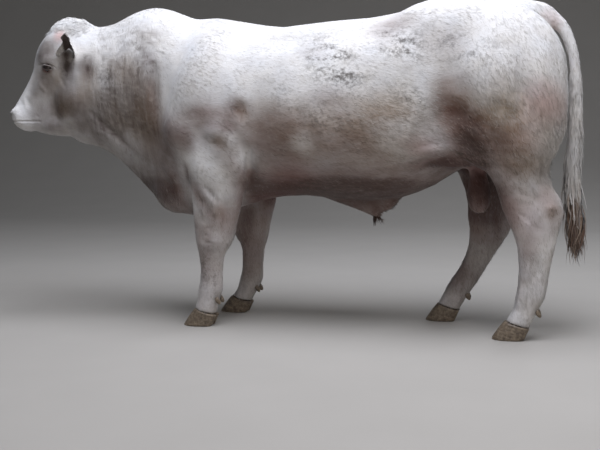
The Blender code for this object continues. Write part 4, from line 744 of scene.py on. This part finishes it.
def sculptLids(piece):
    # each lid hugs the eyeball with a rim; inside the opening the skin sinks behind the ball
    mesh = piece.data
    places = meshPlaces(mesh)
    for side in (-1, 1):
        center = np.array(headPoint(eyePlace[0], side * eyePlace[1], eyePlace[2]))
        outward = headWay(0.25, side, 0)
        outward /= np.linalg.norm(outward)
        rise = np.array((0.0, 0.0, 1.0))
        ahead = np.cross(outward, rise)
        ahead *= np.sign(ahead @ headWay(1, 0, 0))
        rise = rise - outward * (rise @ outward)
        rise /= np.linalg.norm(rise)
        rise = rise - ahead * lids["slant"]
        fromEye = places - center
        near = np.linalg.norm(fromEye, axis=1) < lids["reach"]
        along = fromEye @ ahead
        high = fromEye @ rise
        out = fromEye @ outward
        flat = along ** 2 + high ** 2
        ring = np.sqrt((along / lids["halfLong"]) ** 2 + (high / lids["halfHigh"]) ** 2)
        ball = np.sqrt(np.clip(eyeRadius ** 2 - flat, 0, None))
        lidOut = np.sqrt(np.clip((eyeRadius + lids["thickness"]) ** 2 - flat, 0, None))
        rimHeight = np.where(high > 0, lids["rimAbove"], lids["rimBelow"])
        rim = np.maximum(lidOut, 0.004) + rimHeight * np.exp(-((ring - lids["rimAt"]) / lids["rimWide"]) ** 2)
        crease = lids["crease"] * np.exp(-((ring - lids["creaseAt"]) / lids["creaseWide"]) ** 2)
        crease *= 0.5 + 0.5 * (high > 0)
        hug = step(lids["hugTo"] - ring, 0, 1.0)
        lid = out * (1 - hug) + rim * hug + crease
        target = np.where(ring < 1.0, ball - lids["sunk"], lid)
        change = np.where(near & (out > -0.02), target - out, 0)
        places = places + outward * change[:, None]
    setPlaces(mesh, places)


sculptLids(hide)

# the nostril with its rims, and the line of the mouth
nostril = [(338, 30, 984, 318, 46, 980, 13, -20), (330, 52, 998, 312, 58, 972, 13, 5),
           (340, 20, 1002, 325, 40, 1008, 12, 3.5)]
mouth = {"height": 0.9385, "fall": 0.012, "front": 0.33, "back": (0.185, 0.205),
         "wide": 0.005, "deep": 0.005, "lipAt": 0.008, "lip": 0.0004}


def openNoseAndMouth(piece):
    mesh = piece.data
    places = meshPlaces(mesh)
    halfHead = inHalfHead(places)
    ahead, height = halfHead[:, 0], halfHead[:, 2]
    lipLine = mouth["height"] - mouth["fall"] * np.clip(mouth["front"] - ahead, 0, None)
    away = np.abs(height - lipLine)
    groove = -mouth["deep"] * np.clip(1 - away / mouth["wide"], 0, 1)
    groove += mouth["lip"] * np.clip(1 - np.abs(away - mouth["lipAt"]) / mouth["wide"], 0, 1)
    moved = raisedBy(halfHead, nostril) + groove * step(ahead, *mouth["back"])
    setPlaces(mesh, places + meshNormals(mesh) * moved[:, None])


openNoseAndMouth(hide)
markMesh(hide.data, marksAt(meshPlaces(hide.data)))
hide.data.materials.clear()
hide.data.materials.append(hideMaterial)
hide.data.shade_smooth()
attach(hide, "root")
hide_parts(*fleshNames)
print("scene: the skin is drawn")

# the eyes: one ball each
sideOf = {"left": 1, "right": -1}
for label, side in sideOf.items():
    work = bmesh.new()
    place = Matrix.Translation(headPoint(eyePlace[0], side * eyePlace[1], eyePlace[2]))
    bmesh.ops.create_uvsphere(work, u_segments=40, v_segments=24, radius=eyeRadius, matrix=place)
    eye = newPiece("eye" + label.capitalize(), work)
    eye.data.materials.append(eyeMaterial)
    eye.data.shade_smooth()
    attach(eye, "root")
    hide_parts("eye_" + label)

# painted shade inside the ear's cup and under its front lobe, in the head's frame: ways that its surface
# faces, and strokes in ahead and height
earDepth = {
    "opening": (0.34, 0.50, -0.66), "facing": (-0.45, 0.05), "rootFacing": (-0.35, 0.0),
    "cup": (46, 1330, 32, 1215, 36), "lobe": (32, 1215, 95, 1236, 18), "root": (62, 1264, 40, 1222, 30),
    "cupGain": 2.8, "rootGain": 2.5, "dirt": 0.7,
}
# the ears' form: narrower and then wider about a middle line, lowered, and rounded at the tip
earShape = {
    "voxel": 0.0017, "rounds": 12, "middle": 0.038,
    "narrower": (0.48, 1.225, 1.300), "wider": (0.70, 1.300, 1.340), "lower": (0.011, 1.290, 1.345),
    "tip": (0.047, 0.238, 1.322), "tipReach": 0.055, "tipEdge": 0.035, "tipRounds": 70,
}
hornShape = {"claw": 0.0030, "dewclaw": 0.0020, "rounds": 6, "sole": 0.0003}


def insideEar(places, normals, side):
    # painted shade: 1 in the depth of the cup, from its tip to its root, and on the skin under the front lobe
    ahead, left, height = earDepth["opening"]
    opening = headWay(ahead, side * left, height)
    facing = step(normals @ (opening / np.linalg.norm(opening)), *earDepth["facing"])
    profile = inHeadFrame(places)[:, [0, 2]]
    deep = np.maximum(strokeShare(profile, earDepth["cup"]), strokeShare(profile, earDepth["lobe"]))
    root = strokeShare(profile, earDepth["root"]) * step(normals @ headWay(1, 0, 0), *earDepth["rootFacing"])
    return np.clip(np.maximum(earDepth["cupGain"] * facing * deep, earDepth["rootGain"] * root), 0, 1)


def roundedNode(nodeName, pieceName, voxel, rounds):
    # a node of the solids, made round
    piece = newPiece(pieceName, nodeSolid(nodeName))
    addRemesh(piece, voxel)
    addSmooth(piece, rounds)
    applyModifiers(piece)
    return piece


def shapeEar(ear):
    places = meshPlaces(ear.data)
    ahead = inHeadFrame(places)[:, 0]
    change = {}
    for key in ("narrower", "wider", "lower"):
        amount, low, high = earShape[key]
        change[key] = amount * step(places[:, 2], low, high)
    sideways = (earShape["middle"] - ahead) * (change["narrower"] - change["wider"])
    places += headWay(1, 0, 0) * sideways[:, None]
    places[:, 2] -= change["lower"]
    setPlaces(ear.data, places)
    tip = np.linalg.norm(inHalfHead(meshPlaces(ear.data)) - np.array(earShape["tip"]), axis=1)
    addSmooth(ear, earShape["tipRounds"], step(earShape["tipReach"] - tip, 0, earShape["tipEdge"]))
    applyModifiers(ear)


# the ears: the solids' leaf-shaped cups, made round
for label, side in sideOf.items():
    ear = roundedNode("ear_" + label, "ear" + label.capitalize(), earShape["voxel"], earShape["rounds"])
    shapeEar(ear)
    marks = marksAt(meshPlaces(ear.data))
    # the ear's cup and root get painted shade, darkened further with the dirt colour
    marks[:, 3] = insideEar(meshPlaces(ear.data), meshNormals(ear.data), side)
    marks[:, 1] = earDepth["dirt"] * marks[:, 3]
    markMesh(ear.data, marks)
    ear.data.materials.append(hideMaterial)
    ear.data.shade_smooth()
    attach(ear, "root")
    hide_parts("ear_" + label)

# claws and dewclaws: the solids' shapes with their corners rounded
for name in sorted(nodes):
    kind, *words = name.split("_")
    if kind not in ("claw", "dewclaw"):
        continue
    pieceName = kind + "".join(word.capitalize() for word in words)
    claw = roundedNode(name, pieceName, hornShape[kind], hornShape["rounds"])
    places = meshPlaces(claw.data)
    places[:, 2] = np.maximum(places[:, 2], hornShape["sole"])
    setPlaces(claw.data, places)
    claw.data.materials.append(hornMaterial)
    claw.data.shade_smooth()
    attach(claw, "root")
    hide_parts(name)
print("scene: eyes, ears and claws are made")

# the coat: closed tapered tufts, joined in a few meshes
regions = {"head": 1, "foreNear": 2, "foreFar": 3, "hindNear": 4, "hindFar": 5, "tail": 6}


def regionOf(places):
    # 0 is the trunk
    x, y, z = places.T
    region = np.zeros(len(places), int)
    onLeg = (z < 0.66) & (np.abs(y) > 0.09)
    for ends, chosen in (("fore", onLeg & (x < 0.2)), ("hind", onLeg & (x > 0.6))):
        region[chosen & (y < 0)] = regions[ends + "Near"]
        region[chosen & (y >= 0)] = regions[ends + "Far"]
    region[(x > 1.225) & (np.abs(y) < 0.09)] = regions["tail"]
    region[inHeadFrame(places)[:, 0] > -0.03] = regions["head"]
    return region


# the coat's map: first corner and size of each area, and what it is rolled out round
unwrap = {
    "trunk": {"wide": 0.60, "axis": 0.98, "from": -1.25, "long": 2.7},
    "head": {"corner": 0.62, "size": 0.36, "axis": 0.10, "from": 0.80, "long": 0.65},
    "column": {"corner": (0.62, 0.01), "size": (0.066, 0.58), "pitch": 0.075, "high": 1.45, "legTimes": 2.1},
    "axes": {"foreNear": (-0.31, -0.19), "foreFar": (-0.25, 0.19), "hindNear": (1.10, -0.19),
             "hindFar": (0.86, 0.19), "tail": (1.27, 0.0)},
    "tuft": 0.0014,
}


def turnShare(first, second):
    return np.arctan2(first, second) / (2 * math.pi) + 0.5


def unwrapPlaces(places):
    # each region is rolled out round its own axis, into its own part of the map
    region = regionOf(places)
    trunk, head, column = unwrap["trunk"], unwrap["head"], unwrap["column"]
    x, y, z = places.T
    turned = turnShare(y, z - trunk["axis"])
    spots = np.stack([turned * trunk["wide"], (x - trunk["from"]) / trunk["long"]], axis=1)
    chosen = region == regions["head"]
    ahead, left, height = inHeadFrame(places)[chosen].T
    spots[chosen, 0] = head["corner"] + head["size"] * turnShare(left, ahead - head["axis"])
    spots[chosen, 1] = head["corner"] + head["size"] * (height - head["from"]) / head["long"]
    for number, (name, (axisX, axisY)) in enumerate(unwrap["axes"].items()):
        chosen = region == regions[name]
        turned = turnShare(y[chosen] - axisY, x[chosen] - axisX)
        high = z[chosen] / column["high"] * (1 if name == "tail" else column["legTimes"])
        spots[chosen, 0] = column["corner"][0] + column["pitch"] * number + column["size"][0] * turned
        spots[chosen, 1] = column["corner"][1] + column["size"][1] * np.clip(high, 0, 1)
    return np.clip(spots, 0.002, 0.998)


def scatterRoots(mesh, count, keepShare, seed):
    # places and normals drawn over the surface, as thickly as keepShare says, and the generator
    draw = np.random.default_rng(seed)
    mesh.calc_loop_triangles()
    corners = np.empty(len(mesh.loop_triangles) * 3, int)
    mesh.loop_triangles.foreach_get("vertices", corners)
    corners = corners.reshape(-1, 3)
    places = meshPlaces(mesh)
    normals = meshNormals(mesh)
    first, second, third = (places[corners[:, number]] for number in range(3))
    area = np.linalg.norm(np.cross(second - first, third - first), axis=1) / 2
    total = np.cumsum(area * keepShare((first + second + third) / 3))
    picked = corners[np.searchsorted(total, draw.random(count) * total[-1])]
    share = draw.random((count, 2))
    flip = share.sum(axis=1) > 1
    share[flip] = 1 - share[flip]
    weights = np.stack([1 - share.sum(axis=1), share[:, 0], share[:, 1]], axis=1)
    roots, ups = (sum(values[picked[:, number]] * weights[:, number:number + 1] for number in range(3))
                  for values in (places, normals))
    return roots, unit(ups), draw


# how the coat lies: along X and Z on the trunk, and what haunch, brisket and neck take from it
coatFlow = {
    "trunk": (1.0, -0.45), "lowDown": (0.27, -0.95, -0.70),
    "changes": [(1, 0.70, 0.95, 0.45, 0.55), (-1, 0.30, 0.55, 0.0, 0.45), (-1, 0.52, 0.64, 0.60, 0.80)],
    "leg": (0.25, 0.0, -1.0), "tail": (0.10, 0.0, -1.0),
    "face": (0.35, 0, -0.85),
    "cheek": (-1.0, 0, -0.35), "cheekLean": 0.9, "cheekTop": 1.25, "cheekFrom": (-0.05, 0.12),
}


def lieAt(places, ups, draw, stray):
    # the way the coat lies: back and down on the body, down on legs and tail, down the face to the muzzle
    region = regionOf(places)
    x, z = places[:, 0], places[:, 2]
    share, low, high = coatFlow["lowDown"]
    flow = np.zeros_like(places)
    flow[:, 0] = coatFlow["trunk"][0]
    flow[:, 2] = coatFlow["trunk"][1] - share * step(-z, low, high)
    for sign, low, high, lessBack, moreDown in coatFlow["changes"]:
        there = step(sign * x, low, high)
        flow[:, 0] -= lessBack * there
        flow[:, 2] -= moreDown * there
    flow[(region >= regions["foreNear"]) & (region <= regions["hindFar"])] = coatFlow["leg"]
    flow[region == regions["tail"]] = coatFlow["tail"]
    below = coatFlow["cheekLean"] * (coatFlow["cheekTop"] - z)
    cheek = step(below - inHeadFrame(places)[:, 0], *coatFlow["cheekFrom"])[:, None]
    onHead = headWay(*coatFlow["face"]) * (1 - cheek) + headWay(*coatFlow["cheek"]) * cheek
    head = region == regions["head"]
    flow[head] = onHead[head]
    return laidFlat(flow + draw.normal(0, stray, flow.shape), ups)


tuft = {"sunk": 0.0008, "taper": 0.55, "base": 0.75, "belly": 0.5, "swayTurn": 1.2, "roundness": 0.35}


def tuftFaces(rings, sides):
    # the corners of one tuft's faces: its root, its side and its tip
    faces = [list(range(sides))[::-1]]
    for ring in range(rings):
        for corner in range(sides):
            low, after = ring * sides + corner, ring * sides + (corner + 1) % sides
            upper = [after + sides, low + sides] if ring < rings - 1 else [rings * sides]
            faces.append([low, after] + upper)
    return faces


def makeTufts(name, roots, ups, lie, long, wide, deep, lift, droop, sway, marks, tint, rings=2, sides=3):
    # every tuft: rings of a few corners that narrow to one tip, with its root sunk in the skin
    count = len(roots)
    across = np.cross(ups, lie)
    wide, deep = (np.broadcast_to(values, count) for values in (wide, deep))
    spots = unwrapPlaces(roots)
    perTuft = rings * sides + 1
    verts, facing = np.empty((count, perTuft, 3)), np.empty((count, perTuft, 3))
    uvs = np.empty((count, perTuft, 2))
    for ring in range(rings + 1):
        share = ring / rings
        center = roots + lie * (long * share)[:, None]
        center += ups * (long * (lift * share - droop * share ** 2) - tuft["sunk"] * (1 - share))[:, None]
        center += across * (sway * long * np.sin(share * math.pi * tuft["swayTurn"]))[:, None]
        if ring == rings:
            verts[:, -1], facing[:, -1], uvs[:, -1] = center, ups, spots + (0.0, unwrap["tuft"])
            continue
        size = (1 - share) ** tuft["taper"] * (tuft["base"] + tuft["belly"] * math.sin(share * math.pi))
        for corner in range(sides):
            angle = 2 * math.pi * corner / sides + math.pi / 2
            spot = ring * sides + corner
            verts[:, spot] = center + across * (wide * size * math.cos(angle))[:, None]
            verts[:, spot] += ups * (deep * size * math.sin(angle))[:, None]
            uvs[:, spot] = spots + (unwrap["tuft"] * math.cos(angle), unwrap["tuft"] * (2 * share - 1))
            facing[:, spot] = ups + across * (tuft["roundness"] * math.cos(angle))
    faces = tuftFaces(rings, sides)
    flat = np.concatenate([np.array(face) for face in faces])
    starts = np.cumsum([0] + [len(face) for face in faces])[:-1]
    loops = (flat[None, :] + (np.arange(count) * perTuft)[:, None]).ravel()
    loopStarts = (starts[None, :] + (np.arange(count) * len(flat))[:, None]).ravel()
    mesh = bpy.data.meshes.new(name)
    mesh.vertices.add(count * perTuft)
    mesh.vertices.foreach_set("co", verts.ravel())
    mesh.loops.add(len(loops))
    mesh.loops.foreach_set("vertex_index", loops.astype(np.int32))
    mesh.polygons.add(len(loopStarts))
    mesh.polygons.foreach_set("loop_start", loopStarts.astype(np.int32))
    mesh.update(calc_edges=True)
    layer = mesh.uv_layers.new(name="OFBake")
    layer.data.foreach_set("uv", uvs.reshape(-1, 2)[loops].astype(np.float32).ravel())
    markMesh(mesh, np.repeat(marks, perTuft, axis=0), np.repeat(tint, perTuft))
    mesh.materials.append(tuftMaterial)
    mesh.shade_smooth()
    mesh.normals_split_custom_set_from_vertices(unit(facing.reshape(-1, 3)))
    piece = placed(name, mesh)
    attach(piece, "root")
    return piece


coat = {
    "tufts": 112000,
    "perPiece": 18500,
    "bodyLong": 0.024, "faceLong": 0.010, "footLong": 0.014,
    "bodyWide": 0.0016, "faceWide": 0.0009, "deep": 0.35,
    "stray": 0.16,
    "bare": (0.85, 0.35, 0.8), "onFace": 1.6, "onFoot": (0.8, -0.45, -0.30),
    "nose": (0.345, 0.0, 0.975), "fromNose": (0.045, 0.075), "fromEye": (0.019, 0.032),
    "woolly": [(350, 920, 750, 900, 240), (950, 1050, 1100, 800, 300)],
}


def coatShare(places):
    # how thickly tufts stand: thin where the skin is bare, none on the nose or in the eye
    bareLess, *bareFrom = coat["bare"]
    footMore, *footFrom = coat["onFoot"]
    share = 1 - bareLess * step(marksAt(places)[:, 2], *bareFrom)
    share *= 1 + coat["onFace"] * headWeight(places)
    share *= 1 + footMore * step(-places[:, 2], *footFrom)
    for middle, reach in ((coat["nose"], coat["fromNose"]), (eyePlace, coat["fromEye"])):
        share *= step(np.linalg.norm(inHalfHead(places) - np.array(middle), axis=1), *reach)
    return share


roots, ups, draw = scatterRoots(hide.data, coat["tufts"], coatShare, 7)
lie = lieAt(roots, ups, draw, coat["stray"])
count = len(roots)
x, z = roots[:, 0], roots[:, 2]
face = headWeight(roots)
foot = step(-z, -0.45, -0.25)
woolly = np.clip(1.4 * sum(strokeShare(roots[:, [0, 2]], row) for row in coat["woolly"]), 0, 1)
long = coat["bodyLong"] + (coat["footLong"] - coat["bodyLong"]) * foot
long = (long * (1 + 0.35 * woolly) + (coat["faceLong"] - long) * face) * draw.uniform(0.6, 1.25, count)
wide = coat["bodyWide"] + (coat["faceWide"] - coat["bodyWide"]) * np.maximum(face, foot * 0.5)
wide *= (1 + 0.3 * woolly) * draw.uniform(0.6, 1.3, count)
rough = np.clip(step(x, 0.66, 0.95) * step(z, 0.45, 0.75) + 0.8 * step(-z, -0.42, -0.28), 0, 1)
fluff = foot * step(x, 0.5, 0.6) * step(z, 0.12, 0.18)
long *= 1 + 0.9 * fluff
lift = draw.uniform(0.05, 0.11, count) * (1 + 0.9 * rough + 1.2 * fluff + woolly)
tint = draw.uniform(0, 1, count) ** 0.7
marks = marksAt(roots)
uneven = draw.uniform(0.70, 1.20, count)
marks[:, 0] *= uneven
marks[:, 3] *= 1 + (uneven - 1) * (1 - 0.75 * marks[:, 3])
marks = np.clip(marks, 0, 1)
sway = draw.normal(0, 0.10, count) * (1 + woolly)
for number, start in enumerate(range(0, count, coat["perPiece"])):
    part = slice(start, start + coat["perPiece"])
    makeTufts("coat%d" % (number + 1), roots[part], ups[part], lie[part], long[part], wide[part],
              wide[part] * coat["deep"], lift[part], lift[part] * 0.8, sway[part], marks[part], tint[part])
print("scene: the coat has", count, "tufts")

# longer hair on the poll, wavy and soft
pollHair = {"tufts": 2600, "long": 0.029, "wide": 0.0018, "ahead": (0.75, 0, -0.55),
            "middle": (0.045, 0.0, 1.395), "reach": (0.115, 0.105, 0.085)}


def pollShare(places):
    crown = (inHeadFrame(places) - np.array(pollHair["middle"])) / np.array(pollHair["reach"])
    return step(1.15 - np.linalg.norm(crown, axis=1), 0, 0.35)


roots, ups, draw = scatterRoots(hide.data, pollHair["tufts"], pollShare, 11)
count = len(roots)
lie = laidFlat(headWay(*pollHair["ahead"]) + draw.normal(0, 0.35, roots.shape), ups)
long = pollHair["long"] * draw.uniform(0.6, 1.3, count)
wide = pollHair["wide"] * draw.uniform(0.6, 1.3, count)
lift = draw.uniform(0.12, 0.42, count)
makeTufts("pollHair", roots, ups, lie, long, wide, wide * 0.6, lift, lift * 0.75, draw.normal(0, 0.28, count),
          marksAt(roots), draw.uniform(0.3, 1, count), rings=5)

# the tail: white hair that hangs along it, and the brown switch in long wavy locks
tailHair = {"locks": 1500, "switchLocks": 620}
tailCourse = [
    (1.2927, -0.007, 0.45), (1.2867, -0.007, 0.54), (1.2757, -0.007, 0.62), (1.2677, -0.007, 0.74),
    (1.2677, -0.006, 0.82), (1.2747, -0.005, 0.92), (1.2767, -0.004, 1.03), (1.2717, -0.003, 1.14),
    (1.2537, -0.002, 1.24),
]


def tailPoint(height):
    # the middle of the tail and of its switch at these heights
    x, y, z = np.array(tailCourse).T
    return np.stack([np.interp(height, z, x), np.interp(height, z, y), height], axis=1)


def ringAround(angles):
    return np.stack([np.cos(angles), np.sin(angles), np.zeros(len(angles))], axis=1)


draw = np.random.default_rng(23)
count = tailHair["locks"]
height = 0.72 + 0.44 * draw.uniform(0, 1, count) ** 1.3
out = ringAround(draw.uniform(0, 2 * math.pi, count))
roots = tailPoint(height) + out * np.array((0.0225, 0.021, 0))
lie = laidFlat(np.array((0.0, 0.0, -1.0)) + draw.normal(0, 0.05, (count, 3)), out)
long = draw.uniform(0.07, 0.15, count) * np.clip(1.25 - (height - 0.76) * 2.2, 0.3, 1)
makeTufts("tailHair", roots, out, lie, long, 0.0026, 0.0016, draw.uniform(0.06, 0.20, count),
          draw.uniform(0.0, 0.10, count), draw.normal(0, 0.05, count), marksAt(roots),
          draw.uniform(0.4, 1, count), rings=4)

count = tailHair["switchLocks"]
share = draw.uniform(0, 1, count) ** 0.8
height = 0.785 - 0.27 * share
out = ringAround(draw.uniform(0, 2 * math.pi, count))
girth = 0.027 * (1 - 0.55 * share) * draw.uniform(0.1, 1.0, count) ** 0.5
roots = tailPoint(height) + out * girth[:, None]
lie = unit(out * 0.06 + (0.035, 0, -1) + draw.normal(0, 0.05, (count, 3)))
hairEnd = 0.288 + 0.09 * draw.uniform(0, 1, count) ** 0.6
long = np.minimum(draw.uniform(0.15, 0.27, count), height - hairEnd)
marks = np.zeros((count, len(markKinds)))
brown = step(-(height - long * 0.5), -0.63, -0.50)
marks[:, 0] = brown
marks[:, 3] = brown * draw.uniform(0.4, 1.0, count)
marks[:, 1] = brown * draw.uniform(0.0, 0.8, count)
switch = makeTufts("tailSwitch", roots, laidFlat(out, lie), lie, long, 0.0042, 0.0022,
                   draw.uniform(0, 0.16, count), draw.uniform(0.06, 0.24, count), draw.normal(0, 0.07, count),
                   marks, draw.uniform(0.1, 0.9, count), rings=8, sides=4)
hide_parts("tail_switch")

# hair that hangs from the sheath, and a fringe at the back of the thighs
draw = np.random.default_rng(31)
count = 60
out = ringAround(draw.uniform(0, 2 * math.pi, count))
lie = unit(out * 0.25 + (0.25, 0, -1))
# the sheath's hair: stained and dirty, in full painted shade
marks = np.tile(np.array((0.6, 0.5, 0.0, 1.0)), (count, 1))
makeTufts("sheathHair", out * 0.012 + (0.404, 0, 0.514), laidFlat(out, lie), lie,
          draw.uniform(0.025, 0.062, count), 0.0013, 0.0010, draw.uniform(0, 0.1, count),
          draw.uniform(0, 0.1, count), draw.normal(0, 0.06, count), marks,
          draw.uniform(0, 0.5, count), rings=5)


def fringeShare(places):
    x, y, z = places.T
    return step(x, 1.10, 1.16) * step(z, 0.68, 0.74) * step(-z, -0.98, -0.86) * step(np.abs(y), 0.09, 0.13)


count = 2200
roots, ups, draw = scatterRoots(hide.data, count, fringeShare, 37)
lie = lieAt(roots, ups, draw, 0.30)
makeTufts("thighFringe", roots, ups, lie, draw.uniform(0.022, 0.046, count), 0.0020, 0.0012,
          draw.uniform(0.25, 0.55, count), draw.uniform(0.15, 0.30, count), draw.normal(0, 0.12, count),
          marksAt(roots), draw.uniform(0.3, 1, count), rings=4)

# short hair on the ears
count = 2600
for label, seed in (("left", 41), ("right", 43)):
    ear = bpy.data.objects["ear" + label.capitalize()]
    side = sideOf[label]
    roots, ups, draw = scatterRoots(ear.data, count, lambda places: np.ones(len(places)), seed)
    lie = laidFlat(headWay(0.0, side * 0.85, 0.55) + draw.normal(0, 0.25, roots.shape), ups)
    marks = marksAt(roots)
    inner = insideEar(roots, ups, side)
    # painted shade in the ear's cup on its hair too
    marks[:, 3] = np.maximum(marks[:, 3] * 0.4, inner)
    marks[:, 1] = earDepth["dirt"] * inner
    makeTufts(ear.name + "Hair", roots, ups, lie, draw.uniform(0.006, 0.013, count), 0.0012, 0.0007,
              draw.uniform(0.08, 0.28, count), draw.uniform(0.05, 0.2, count), draw.normal(0, 0.12, count),
              marks, draw.uniform(0.2, 1, count), rings=3)
print("scene: long hair is made")

# the studio: a floor that curves up behind, a grey world, three lamps and the camera
studio = {
    "half": 9.0, "wider": 2.6, "wallHigh": 7.0, "curve": 4.5, "curveSteps": 16,
    "floor": ("a7a29b", "ada8a1"), "world": "cfd4da", "worldPower": 0.13,
}
work = bmesh.new()
bmesh.ops.create_grid(work, x_segments=1, y_segments=1, size=studio["half"])
bmesh.ops.scale(work, verts=work.verts, vec=(studio["wider"], 1.0, 1.0))
backEdge = [edge for edge in work.edges if all(vertex.co.y > 0 for vertex in edge.verts)]
raised = bmesh.ops.extrude_edge_only(work, edges=backEdge)["geom"]
wallTop = [item for item in raised if isinstance(item, bmesh.types.BMVert)]
bmesh.ops.translate(work, verts=wallTop, vec=(0, 0, studio["wallHigh"]))
bmesh.ops.bevel(work, geom=backEdge, offset=studio["curve"], segments=studio["curveSteps"], profile=0.5,
                affect='EDGES', material=-1)
floor = newPiece("studioFloor", work)
floor.data.shade_smooth()
floorMaterial, tree, shader = newMaterial("matt studio floor", {"Roughness": 0.9})
floorColours = [linear(text) for text in studio["floor"]]
grain = noise(tree, objectPlace(tree), 3.0, 3.0)
tree.links.new(mixColour(tree, grain, *floorColours), shader.inputs["Base Color"])
floor.data.materials.append(floorMaterial)

world = bpy.data.worlds.new("studio")
bpy.context.scene.world = world
world.use_nodes = True
background = world.node_tree.nodes["Background"].inputs
background[0].default_value = linear(studio["world"])
background[1].default_value = studio["worldPower"]


def aimed(name, content, place, direction):
    # a lamp or camera that looks along the direction
    holder = placed(name, content)
    holder.matrix_world = Matrix.Translation(place) @ direction.to_track_quat('-Z', 'Y').to_matrix().to_4x4()
    return holder


# each lamp: its place, what it aims at, size, power and colour
lamps = {
    "overhead": ((0.6, -0.95, 4.4), (0.1, 0.0, 1.0), 3.8, 272, "eef3ff"),
    "side": ((2.8, -4.4, 2.6), (0.7, 0.0, 0.8), 3.0, 36, "fff4ea"),
    "back": ((2.6, 4.2, 3.6), (0.0, 0.0, 1.1), 3.0, 60, "eef4ff"),
}
for name, (place, aim, size, power, text) in lamps.items():
    lamp = bpy.data.lights.new(name, 'AREA')
    lamp.shape = 'DISK'
    lamp.size = size
    lamp.energy = power
    lamp.color = linear(text)[:3]
    aimed(name, lamp, place, Vector(aim) - Vector(place))

view = {"place": (1.0917, -4.5308, 0.92), "turn": math.radians(13.0), "down": math.atan(0.1), "lens": 60.0}
camera = bpy.data.cameras.new("photoView")
camera.sensor_width = 36.0
camera.lens = view["lens"]
level = math.cos(view["down"])
direction = Vector((-math.sin(view["turn"]) * level, math.cos(view["turn"]) * level, -math.sin(view["down"])))
bpy.context.scene.camera = aimed("photoView", camera, view["place"], direction)
bpy.context.scene.view_settings.view_transform = 'Standard'
